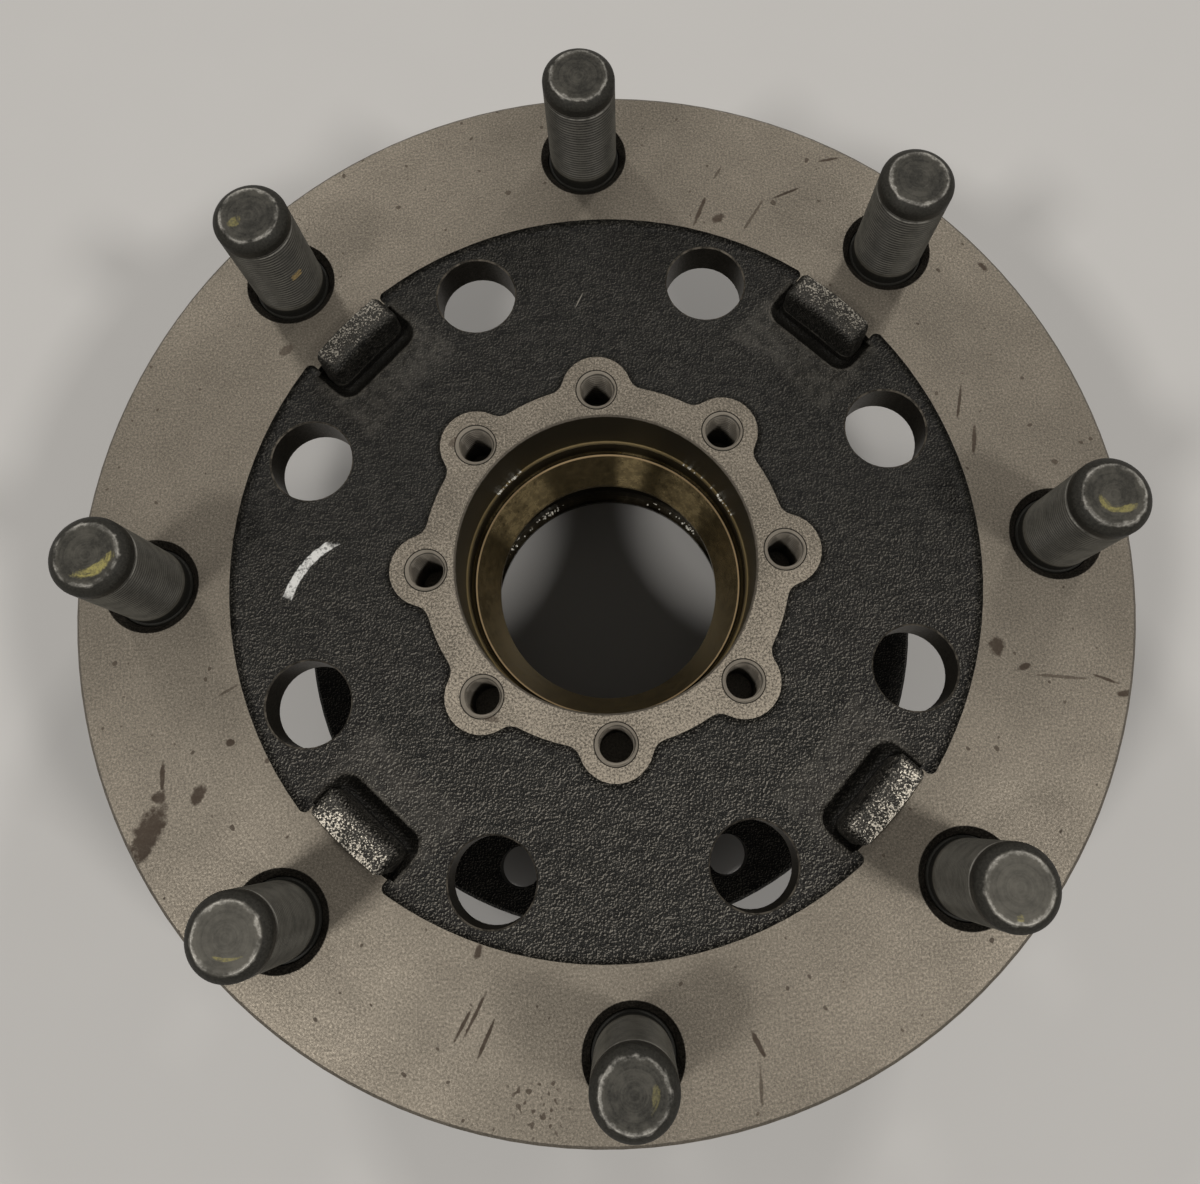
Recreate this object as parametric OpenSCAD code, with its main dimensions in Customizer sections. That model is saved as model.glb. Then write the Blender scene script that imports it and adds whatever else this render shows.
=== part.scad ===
// Eight-stud wheel hub with four pilot lugs and two bearing cups.
// The wheel face is the plane z = 0, the hub's axis is z, and the outboard side is up.

/* [Wheel flange] */
// Diameter of the circle of wheel studs
stud_circle_d = 275; // [273:0.5:277]
// Distance from the stud circle out to the flange's rim
rim_margin = 22.5; // [20:0.5:27]
// Thickness from the wheel face to the back of the flange and web
flange_t = 19.3; // [17:0.1:23]
// Chamfer on the rim of the wheel flange
flange_chamfer = 1; // [0.5:0.1:2]

/* [Pilot lugs] */
// Distance from the stud circle in to the lugs' machined outer faces
pilot_margin = 27; // [26:0.1:28]
// Height of a lug above the wheel face
lug_h = 9; // [6:0.5:12]
// Thickness of a lug along the hub's radius, at its foot
lug_t = 10; // [8.5:0.1:11]
// Width of a lug across the hub's radius, at its foot
lug_w = 28.6; // [26:0.1:30]
// How far a lug's inner face and each end lean in over its height
lug_draft = 0.7; // [0.4:0.1:1.5]
// Round on a lug's upper edges
lug_round = 3; // [1.5:0.1:3.4]
// Round on a lug's upright corners
lug_corner = 3.5; // [2.5:0.1:4]
// How far the outer corners' rounds reach past the machined face
lug_corner_past = 0.1; // [0.1:0.05:0.5]
// Chamfer on the upper edge of a lug's machined face
lug_chamfer = 0.4; // [0.2:0.1:0.8]
// Width of the wheel face's tongue beyond each end of its lug
tongue_side = 0.7; // [0.4:0.1:1.5]
// Distance from each end of a lug out to the rim of its pocket
pocket_side = 3.5; // [2.5:0.1:4.5]
// Distance from a lug's inner face in to the rim of its pocket
pocket_gap = 6.4; // [6:0.1:7]
// Depth of the pocket below the floor of the sunken centre
pocket_drop = 4; // [3:0.1:4.5]
// Slope of the pocket's walls in degrees
pocket_slope = 50; // [45:1:60]
// Radius of the hollow at the pocket's foot
pocket_hollow = 3; // [2:0.1:3.5]
// Round on the pocket's rim
pocket_rim = 2; // [1:0.1:2.4]
// Round on the inner corners of the pocket's rim
pocket_corner = 6.8; // [6.5:0.1:8]

/* [Sunken centre] */
// How far the sunken centre reaches beyond the lugs' outer faces
recess_margin = 3.6; // [2.8:0.1:6]
// Depth of the sunken centre below the wheel face
recess_depth = 3.2; // [3:0.1:4.5]
// Radius of the hollow round at the foot of the centre's outer wall
recess_round = 2.9; // [1:0.1:2.9]
// Round where the centre's outer wall turns in beside a lug
recess_corner = 2; // [1:0.1:2.2]

/* [Web holes] */
// Distance from the centre's outer wall in to the circle of web holes
web_hole_margin = 16.1; // [15.7:0.1:18]
// Diameter of a web hole
web_hole_d = 25.4; // [22:0.1:26]
// Chamfer on a web hole's upper rim
web_hole_chamfer = 0.5; // [0.2:0.1:1]

/* [Outer boss] */
// Wall between the bore and the boss's outside, between its lobes
boss_wall = 10.2; // [9:0.1:11.5]
// Distance from the bore out to the circle of threaded holes
cap_circle_margin = 8.9; // [8.4:0.1:9.4]
// Radius of a lobe round its threaded hole
lobe_r = 11.1; // [10.5:0.1:12]
// Radius of the hollow between a lobe and the boss
lobe_blend = 5; // [4.5:0.1:6]
// Radius of the hollow round at the foot of the boss
boss_round = 2.8; // [1.5:0.1:2.9]
// Diameter of a threaded hole inside its thread
cap_hole_d = 10.2; // [8.5:0.1:10.6]
// Depth of a threaded hole
cap_hole_depth = 30; // [20:1:34]
// Chamfer on a threaded hole's mouth
cap_mouth = 1.2; // [0.7:0.1:1.7]

/* [Bore] */
// How far the wide upper part of the bore stands back from the outer cup
bore_step = 0.8; // [0.5:0.1:1.5]
// Depth of that wide part of the bore
bore_depth = 27.2; // [24:0.1:30]
// Chamfer on the bore's mouth and on the seal bore's mouth
bore_chamfer = 0.6; // [0.3:0.1:1.2]
// Width of the ledge that the outer cup's back rests on
outer_ledge = 6; // [4:0.1:7]
// Width of the ledge that the inner cup's back rests on
inner_ledge = 10; // [8:0.1:11]
// Length of a ledge along the axis
ledge_t = 7; // [4:0.5:9]
// How far the grease space between the cups stands back from the outer cup
cavity_step = 3; // [1:0.1:5]

/* [Outer bearing cup] */
// Outside diameter of the outer cup
outer_cup_d = 90; // [84:0.5:92]
// Depth of the outer cup's front face below the wide part of the bore
outer_cup_drop = 8.7; // [6:0.1:12]
// Length of the outer cup
outer_cup_len = 18.5; // [16:0.1:21]
// Wall of the outer cup at its race's wide end
outer_front_wall = 1.7; // [1.7:0.1:2.5]
// Wall of the outer cup at its race's narrow end
outer_back_wall = 8.1; // [6:0.1:9]

/* [Inner bearing cup] */
// How far the inner cup's outside stands beyond the outer cup's
inner_cup_step = 10; // [8:0.5:12]
// Length of the inner cup
inner_cup_len = 20; // [17:0.1:23]
// Wall of the inner cup at its race's wide end
inner_front_wall = 6.5; // [4:0.1:7.5]
// Wall of the inner cup at its race's narrow end
inner_back_wall = 12.5; // [10.5:0.1:13.5]
// How far the seal's bore stands back from the inner cup
seal_step = 3; // [2:0.1:5]
// Depth of the seal's bore from the inboard end
seal_depth = 12; // [9:0.5:15]

/* [Both bearing cups] */
// Chamfer on a cup's outer corners
cup_corner = 1.2; // [0.6:0.1:1.2]
// Step from a cup's front face to the start of its race
race_lip = 0.4; // [0.2:0.1:0.4]
// Length of the plain land at a race's narrow end
race_land = 2; // [1:0.1:3]
// Chamfer at a cup's inner back corner
race_chamfer = 0.8; // [0.4:0.1:1.2]

/* [Barrel and lower flange] */
// Wall between the seal's bore and the barrel
barrel_wall = 10; // [8:0.5:12]
// Radius of the hollow between the web and the barrel
web_blend = 10; // [6:0.5:14]
// Distance from the lower flange's holes out to its rim
lower_margin = 16; // [13:0.5:18]
// Distance from the wheel face to the top of the lower flange
lower_depth = 102; // [98:0.5:106]
// Thickness of the lower flange
lower_t = 12; // [10:0.5:14]
// Radius of the hollow between the barrel and the lower flange
lower_blend = 8; // [5:0.5:10]
// Chamfer on the lower flange's rim and on the inboard end
lower_chamfer = 1; // [0.5:0.1:1.5]
// Diameter of a hole in the lower flange
lower_hole_d = 14.5; // [12:0.1:16]
// Length of the inboard end below the lower flange
nose_len = 16; // [13:0.5:20]
// How far the inboard end stands in from the barrel
nose_step = 1; // [0.5:0.1:2]

/* [Wheel studs] */
// Thread diameter of a stud
stud_d = 22; // [20:0.5:24]
// Height of a stud's end above the wheel face
stud_h = 47.8; // [40:0.1:60]
// Chamfer on a stud's end
stud_chamfer = 2.4; // [1.5:0.1:3.5]
// How far a stud's hole stands back from its thread
stud_hole_step = 1; // [0.8:0.1:1.5]
// Chamfer on the mouth of a stud's hole
stud_mouth = 2.15; // [1.5:0.05:3]
// Distance between the rings that stand for a stud's thread
thread_pitch = 1.5; // [1.5:0.1:2]
// Depth of the thread
thread_depth = 0.9; // [0.6:0.05:1]
// Width of a ring's crest
thread_crest = 0.4; // [0.2:0.05:0.5]
// Plain length of a stud above its thread
stud_lead = 5.6; // [4:0.1:8]
// Plain length of a stud between the wheel face and its thread
stud_neck = 3; // [2.5:0.1:6]
// Length of the serrated part of a stud
serration_len = 12; // [8:0.5:13]
// How far the serrations stand up into the hole's mouth
serration_rise = 0.3; // [0.2:0.1:0.6]
// Depth of a serration
serration_depth = 0.5; // [0.3:0.1:0.8]
// Clearance between the serrations' crests and the hole
serration_gap = 0.02; // [0.01:0.01:0.05]
// How far a stud's head stands out round its hole
stud_head_step = 4; // [3:0.5:5]
// Thickness of a stud's head
stud_head_t = 8; // [6:0.5:10]
// Chamfer on the rim of a stud's head
stud_head_chamfer = 1.2; // [0.5:0.1:2]

/* [Hidden] */

// Studs, lobes and both rings of holes all come in eights, and the lugs in fours
eight = 8;
pitch = 360 / eight;
four = 4;
serrations = 36;
$fn = 96;
// Straight pieces in a small round, and how far a cut runs past a face
round_n = 6;
past = 1;

// Radii that run out from the stud circle
stud_circle_r = stud_circle_d / 2;
flange_r = stud_circle_r + rim_margin;
pilot_r = stud_circle_r - pilot_margin;
recess_r = pilot_r + recess_margin;
access_r = recess_r - web_hole_margin;
lower_r = access_r + lower_margin;
lug_foot_r = pilot_r - lug_t;
pocket_rim_r = lug_foot_r - pocket_gap;
pocket_half = lug_w / 2 + pocket_side;

// Radii that run out from the bearing cups
outer_cup_r = outer_cup_d / 2;
bore_r = outer_cup_r + bore_step;
boss_r = bore_r + boss_wall;
cap_circle_r = bore_r + cap_circle_margin;
cavity_r = outer_cup_r + cavity_step;
inner_cup_r = outer_cup_r + inner_cup_step;
seal_r = inner_cup_r + seal_step;
barrel_r = seal_r + barrel_wall;
nose_r = barrel_r - nose_step;

// Radii of a stud and its hole
stud_r = stud_d / 2;
stud_hole_r = stud_r + stud_hole_step;
stud_mouth_r = stud_hole_r + stud_mouth;
cap_hole_r = cap_hole_d / 2;

// Heights
pocket_z = -recess_depth - pocket_drop;
outer_cup_front_z = -bore_depth - outer_cup_drop;
outer_cup_back_z = outer_cup_front_z - outer_cup_len;
lower_top_z = -lower_depth;
lower_bottom_z = lower_top_z - lower_t;
hub_end_z = lower_bottom_z - nose_len;
inner_cup_front_z = hub_end_z + seal_depth;
inner_cup_back_z = inner_cup_front_z + inner_cup_len;
cavity_top_z = outer_cup_back_z - ledge_t;
cavity_bottom_z = inner_cup_back_z + ledge_t;

// Points along an arc, from its first to its last angle
function arc(centre, r, from, to, n = round_n, start = 0) =
  [for (i = [start:n]) let (a = from + (to - from) * i / n) centre + r * [cos(a), sin(a)]];

// Points turned about the origin
function turned(points, a) =
  [for (p = points) [p.x * cos(a) - p.y * sin(a), p.x * sin(a) + p.y * cos(a)]];

// The hollow between a lobe and the boss touches both circles, which sets its centre
blend_r = boss_r + lobe_blend;
blend_angle = acos((pow(blend_r, 2) + pow(cap_circle_r, 2) - pow(lobe_r + lobe_blend, 2))
  / (2 * blend_r * cap_circle_r));
blend_at = blend_r * [cos(blend_angle), sin(blend_angle)];
lobe_angle = atan2(blend_at.y, blend_at.x - cap_circle_r);

// One lobe's share of the boss outline, moved outwards by grow
function lobe_outline(grow) = concat(
  arc([0, 0], boss_r + grow, -pitch / 2, -blend_angle, 2),
  arc([blend_at.x, -blend_at.y], lobe_blend - grow, 180 - blend_angle, 180 - lobe_angle, 4, 1),
  arc([cap_circle_r, 0], lobe_r + grow, -lobe_angle, lobe_angle, 12, 1),
  arc(blend_at, lobe_blend - grow, lobe_angle - 180, blend_angle - 180, 4, 1),
  [(boss_r + grow) * [cos((blend_angle + pitch / 2) / 2), sin((blend_angle + pitch / 2) / 2)]]);

function boss_outline(grow) =
  [for (k = [0:eight - 1]) each turned(lobe_outline(grow), k * pitch)];

// Outward shift and height of each level of the boss, from its root in the web to above its face
boss_levels = concat(
  [[boss_round, -recess_depth - past]],
  arc([boss_round, boss_round - recess_depth], boss_round, 270, 180),
  [[0, past]]);

// A closed solid through outlines that all have the same number of points
module loft(outlines, heights) {
  n = len(outlines[0]);
  last = len(outlines) - 1;
  points = [for (j = [0:last]) for (p = outlines[j]) [p.x, p.y, heights[j]]];
  sides = [for (j = [0:last - 1]) for (i = [0:n - 1]) let (h = (i + 1) % n)
    [j * n + i, (j + 1) * n + i, (j + 1) * n + h, j * n + h]];
  floor_face = [for (i = [0:n - 1]) i];
  top_face = [for (i = [n - 1:-1:0]) last * n + i];
  polyhedron(points, concat(sides, [floor_face, top_face]), convexity = 6);
}

// Lobed boss with a hollow round at its foot, faced off at z = 0
module boss() {
  intersection() {
    loft([for (v = boss_levels) boss_outline(v[0])], [for (v = boss_levels) v[1]]);
    translate([0, 0, -recess_depth - 2 * past])
      cylinder(r = access_r, h = recess_depth + 2 * past);
  }
}

// Outside of the casting, turned about the axis
module turned_body() {
  rotate_extrude()
    polygon(concat(
      [[0, 0], [flange_r - flange_chamfer, 0], [flange_r, -flange_chamfer]],
      [[flange_r, flange_chamfer - flange_t], [flange_r - flange_chamfer, -flange_t]],
      arc([barrel_r + web_blend, -flange_t - web_blend], web_blend, 90, 180),
      arc([barrel_r + lower_blend, lower_top_z + lower_blend], lower_blend, 180, 270),
      [[lower_r - lower_chamfer, lower_top_z], [lower_r, lower_top_z - lower_chamfer]],
      [[lower_r, lower_bottom_z + lower_chamfer], [lower_r - lower_chamfer, lower_bottom_z]],
      [[nose_r, lower_bottom_z], [nose_r, hub_end_z + lower_chamfer]],
      [[nose_r - lower_chamfer, hub_end_z], [0, hub_end_z]]));
}

// Half the edge of the tongue of wheel face beside a lug, with a round that touches the centre's wall
function tongue_edge() =
  let (
    side = lug_w / 2 + tongue_side,
    at_r = recess_r - recess_corner,
    at_y = side + recess_corner,
    at = [sqrt(pow(at_r, 2) - pow(at_y, 2)), at_y],
    touch = atan2(at.y, at.x))
  concat(
    [[lug_foot_r, side]],
    arc(at, recess_corner, -90, touch),
    [flange_r * [cos(touch), sin(touch)]]);

// The sunken centre stops short at each lug, where a tongue of wheel face runs in to the lug's outer face
module recess() {
  edge = tongue_edge();
  last = len(edge) - 1;
  difference() {
    rotate_extrude()
      polygon(concat(
        [[0, past], [0, -recess_depth]],
        arc([recess_r - recess_round, recess_round - recess_depth], recess_round, 270, 360),
        [[recess_r, past]]));
    for (k = [0:four - 1])
      rotate(pitch + k * 360 / four)
        difference() {
          translate([0, 0, -recess_depth - past])
            linear_extrude(recess_depth + 3 * past)
              polygon(concat(edge, [for (i = [last:-1:0]) [edge[i].x, -edge[i].y]]));
          translate([0, 0, -recess_depth - 2 * past])
            cylinder(r = pilot_r, h = recess_depth + 5 * past);
        }
  }
}

// Outline of a pocket's rim, moved outwards by grow, with its outer side past the machined face
function pocket_outline(grow) =
  let (
    at_x = pocket_rim_r + pocket_corner,
    at_y = pocket_half - pocket_corner,
    r = pocket_corner + grow)
  concat(
    [[pilot_r + lug_t, -pocket_half - grow], [pilot_r + lug_t, pocket_half + grow]],
    arc([at_x, at_y], r, 90, 180),
    arc([at_x, -at_y], r, 180, 270));

// The pocket's wall leaves its hollow foot at the slope's angle and meets the rim's round at the same angle
pocket_rounds = pocket_hollow + pocket_rim;
pocket_straight = (pocket_drop - pocket_rounds * (1 - cos(pocket_slope))) / sin(pocket_slope);
pocket_run = pocket_rounds * sin(pocket_slope) + pocket_straight * cos(pocket_slope);

// Outward shift and height of each level of a pocket, from its floor over the rounded rim
pocket_levels = concat(
  arc([-pocket_run, pocket_z + pocket_hollow], pocket_hollow, 270, 270 + pocket_slope, 3),
  arc([0, -recess_depth - pocket_rim], pocket_rim, 90 + pocket_slope, 90, 4),
  [[0, past]]);

// Pocket round the foot of a lug, out to the machined face
module pocket() {
  intersection() {
    loft([for (v = pocket_levels) pocket_outline(v[0])], [for (v = pocket_levels) v[1]]);
    translate([0, 0, pocket_z - past])
      cylinder(r = pilot_r, h = 3 * past - pocket_z);
  }
}

// Plan of a lug, whose outer corners turn in just past the machined face
module lug_plan() {
  inset = lug_w / 2 - lug_corner;
  in_x = lug_foot_r + lug_corner;
  out_x = sqrt(pow(pilot_r + lug_corner_past - lug_corner, 2) - pow(inset, 2));
  polygon(concat(
    arc([in_x, -inset], lug_corner, 180, 270),
    arc([out_x, -inset], lug_corner, 270, 360),
    [[pilot_r + past, 0]],
    arc([out_x, inset], lug_corner, 0, 90),
    arc([in_x, inset], lug_corner, 90, 180)));
}

// Pilot lug: a leaning, rounded block whose outer face is turned to the pilot radius
module lug() {
  foot_z = pocket_z - past;
  top_in_r = lug_foot_r + lug_draft;
  top_half = lug_w / 2 - lug_draft;
  intersection() {
    rotate_extrude()
      polygon(concat(
        [[lug_foot_r, foot_z], [pilot_r, foot_z], [pilot_r, lug_h - lug_chamfer]],
        [[pilot_r - lug_chamfer, lug_h]],
        arc([top_in_r + lug_round, lug_h - lug_round], lug_round, 90, 180)));
    rotate([90, 0, 90])
      linear_extrude(flange_r)
        polygon(concat(
          [[-lug_w / 2, foot_z], [lug_w / 2, foot_z]],
          arc([top_half - lug_round, lug_h - lug_round], lug_round, 0, 90),
          arc([lug_round - top_half, lug_h - lug_round], lug_round, 90, 180)));
    translate([0, 0, foot_z])
      linear_extrude(lug_h - foot_z + past)
        lug_plan();
  }
}

// Everything turned out of the middle, from the boss face to the seal's bore
module bore() {
  seat_z = outer_cup_r - bore_r - bore_depth;
  outer_ledge_r = outer_cup_r - outer_ledge;
  inner_ledge_r = inner_cup_r - inner_ledge;
  rotate_extrude()
    polygon([
      [0, past],
      [bore_r + bore_chamfer + past, past],
      [bore_r, -bore_chamfer],
      [bore_r, -bore_depth],
      [outer_cup_r, seat_z],
      [outer_cup_r, outer_cup_back_z],
      [outer_ledge_r, outer_cup_back_z],
      [outer_ledge_r, cavity_top_z],
      [cavity_r, cavity_top_z + outer_ledge_r - cavity_r],
      [cavity_r, cavity_bottom_z + cavity_r - inner_ledge_r],
      [inner_ledge_r, cavity_bottom_z],
      [inner_ledge_r, inner_cup_back_z],
      [inner_cup_r, inner_cup_back_z],
      [inner_cup_r, inner_cup_front_z],
      [seal_r, inner_cup_front_z],
      [seal_r, hub_end_z + bore_chamfer],
      [seal_r + bore_chamfer + past, hub_end_z - past],
      [0, hub_end_z - past]]);
}

// A hole from the plane z = 0 down, with a chamfered mouth
module mouthed_hole(r, mouth_r, depth) {
  translate([0, 0, -depth])
    cylinder(r = r, h = depth + past);
  translate([0, 0, r - mouth_r])
    cylinder(r1 = r, r2 = mouth_r + past, h = mouth_r - r + past);
}

// The whole casting
module hub_casting() {
  color([0.16, 0.16, 0.17])
    difference() {
      union() {
        difference() {
          turned_body();
          recess();
          for (k = [0:four - 1])
            rotate(pitch + k * 360 / four)
              pocket();
        }
        boss();
        for (k = [0:four - 1])
          rotate(pitch + k * 360 / four)
            lug();
      }
      bore();
      for (k = [0:eight - 1]) {
        rotate(k * pitch)
          translate([stud_circle_r, 0, 0])
            mouthed_hole(stud_hole_r, stud_mouth_r, flange_t + past);
        rotate(k * pitch)
          translate([cap_circle_r, 0, 0])
            mouthed_hole(cap_hole_r, cap_hole_r + cap_mouth, cap_hole_depth);
        rotate((k + 0.5) * pitch)
          translate([access_r, 0, -recess_depth])
            mouthed_hole(web_hole_d / 2, web_hole_d / 2 + web_hole_chamfer, flange_t);
        rotate((k + 0.5) * pitch)
          translate([access_r, 0, lower_bottom_z - past])
            cylinder(d = lower_hole_d, h = lower_t + 2 * past);
      }
    }
}

// Star-shaped section of a stud's serrations
module serration_section() {
  crest_r = stud_hole_r - serration_gap;
  polygon([for (i = [0:2 * serrations - 1])
    let (r = i % 2 == 0 ? crest_r : crest_r - serration_depth, a = i * 180 / serrations)
      r * [cos(a), sin(a)]]);
}

// Crests and roots of the rings that stand for a stud's thread, from its top down
function thread_rings() =
  let (
    top_z = stud_h - stud_lead,
    turns = floor((top_z - stud_neck) / thread_pitch))
  [for (i = [0:turns - 1])
    let (z = top_z - i * thread_pitch)
    each [
      [stud_r, z],
      [stud_r - thread_depth, z - (thread_pitch - thread_crest) / 2],
      [stud_r, z - thread_pitch + thread_crest]]];

// Wheel stud k, pressed in from the back with its head against the flange
module wheel_stud(k) {
  end_r = stud_r - stud_chamfer;
  head_r = stud_hole_r + stud_head_step;
  shank_r = stud_hole_r - serration_gap - serration_depth;
  serration_top_z = serration_rise - stud_mouth;
  head_z = -flange_t - stud_head_t;
  color([0.13, 0.13, 0.13])
    rotate(k * pitch)
      translate([stud_circle_r, 0, 0]) {
        rotate_extrude()
          polygon(concat(
            [[0, stud_h], [end_r, stud_h], [stud_r, stud_h - stud_chamfer]],
            thread_rings(),
            [[stud_r, serration_top_z], [shank_r, serration_top_z]],
            [[shank_r, -flange_t], [head_r, -flange_t]],
            [[head_r, head_z + stud_head_chamfer], [head_r - stud_head_chamfer, head_z]],
            [[0, head_z]]));
        translate([0, 0, serration_top_z - serration_len])
          linear_extrude(serration_len)
            serration_section();
      }
}

// A bearing cup with its wide end at z = 0 and its back below
module bearing_cup(cup_r, length, front_wall, back_wall) {
  wide_r = cup_r - front_wall;
  narrow_r = cup_r - back_wall;
  rotate_extrude()
    polygon([
      [wide_r + race_lip, 0],
      [cup_r - cup_corner, 0],
      [cup_r, -cup_corner],
      [cup_r, cup_corner - length],
      [cup_r - cup_corner, -length],
      [narrow_r + race_chamfer, -length],
      [narrow_r, race_chamfer - length],
      [narrow_r, race_chamfer + race_land - length],
      [wide_r, -race_lip]]);
}

// Outboard cup, wide end up
module outer_bearing_cup() {
  color([0.45, 0.38, 0.24])
    translate([0, 0, outer_cup_front_z])
      bearing_cup(outer_cup_r, outer_cup_len, outer_front_wall, outer_back_wall);
}

// Inboard cup, wide end down
module inner_bearing_cup() {
  color([0.45, 0.38, 0.24])
    translate([0, 0, inner_cup_front_z])
      mirror([0, 0, 1])
        bearing_cup(inner_cup_r, inner_cup_len, inner_front_wall, inner_back_wall);
}

hub_casting();
wheel_stud(0);  // wheel_stud_1
wheel_stud(1);  // wheel_stud_2
wheel_stud(2);  // wheel_stud_3
wheel_stud(3);  // wheel_stud_4
wheel_stud(4);  // wheel_stud_5
wheel_stud(5);  // wheel_stud_6
wheel_stud(6);  // wheel_stud_7
wheel_stud(7);  // wheel_stud_8
outer_bearing_cup();
inner_bearing_cup();
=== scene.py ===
"""Wheel hub with eight studs: finishes, threads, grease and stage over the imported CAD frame.

Lengths in the formulas are millimetres, and MM turns them into Blender's metres. The hub's axis is z,
the wheel face is z = 0 and the outboard side is up.
"""

import math

import bmesh
import bpy
from bpy.props import (
    FloatProperty,
    FloatVectorProperty,
    IntProperty,
    PointerProperty,
)
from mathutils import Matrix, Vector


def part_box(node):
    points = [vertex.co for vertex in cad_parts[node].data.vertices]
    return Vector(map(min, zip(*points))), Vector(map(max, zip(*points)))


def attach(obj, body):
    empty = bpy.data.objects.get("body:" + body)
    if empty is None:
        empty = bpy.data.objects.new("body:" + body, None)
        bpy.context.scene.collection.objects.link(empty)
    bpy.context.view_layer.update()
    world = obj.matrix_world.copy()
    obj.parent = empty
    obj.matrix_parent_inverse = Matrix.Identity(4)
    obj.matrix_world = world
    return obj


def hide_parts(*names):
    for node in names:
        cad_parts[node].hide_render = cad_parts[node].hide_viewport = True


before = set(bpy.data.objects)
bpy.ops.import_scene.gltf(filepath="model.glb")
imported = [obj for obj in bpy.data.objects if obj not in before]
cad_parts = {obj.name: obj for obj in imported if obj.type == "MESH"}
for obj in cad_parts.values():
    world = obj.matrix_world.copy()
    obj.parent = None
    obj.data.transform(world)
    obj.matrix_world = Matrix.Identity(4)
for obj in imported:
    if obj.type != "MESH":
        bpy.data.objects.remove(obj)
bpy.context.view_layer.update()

bl_info = {
    "name": "Wheel Hub",
    "version": (1, 0, 0),
    "blender": (4, 5, 0),
    "location": "View3D > Sidebar > Wheel Hub",
    "description": "Cast hub with wheel studs, pilot lugs and bearing cups",
    "category": "Object",
}

MM = 0.001
# Points nearer than these, in metres, are joined: in meshes made here, and in the CAD's own
WELD = 0.000004
CAD_WELD = 0.000002
LAMP_COLOUR = (1.0, 0.985, 0.96)
EIGHT = 8
PITCH = 45.0
STUD_CIRCLE = 137.5
CAP_CIRCLE = 54.7
WEB_CIRCLE = 98.0
PILOT_R = 110.5
LUG_CIRCLE = 105.8
FLOOR_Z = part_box("hub_casting")[0].z


# Node formulas


class Term:
    """One output of a node, ready for use in a formula."""

    def __init__(self, sheet, socket):
        self.sheet = sheet
        self.socket = socket

    def __add__(self, other):
        return self.sheet.math("ADD", self, other)

    def __radd__(self, other):
        return self.sheet.math("ADD", other, self)

    def __sub__(self, other):
        return self.sheet.math("SUBTRACT", self, other)

    def __rsub__(self, other):
        return self.sheet.math("SUBTRACT", other, self)

    def __mul__(self, other):
        return self.sheet.math("MULTIPLY", self, other)

    def __rmul__(self, other):
        return self.sheet.math("MULTIPLY", other, self)

    def __truediv__(self, other):
        return self.sheet.math("DIVIDE", self, other)

    def __neg__(self):
        return self.sheet.math("MULTIPLY", self, -1.0)


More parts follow.
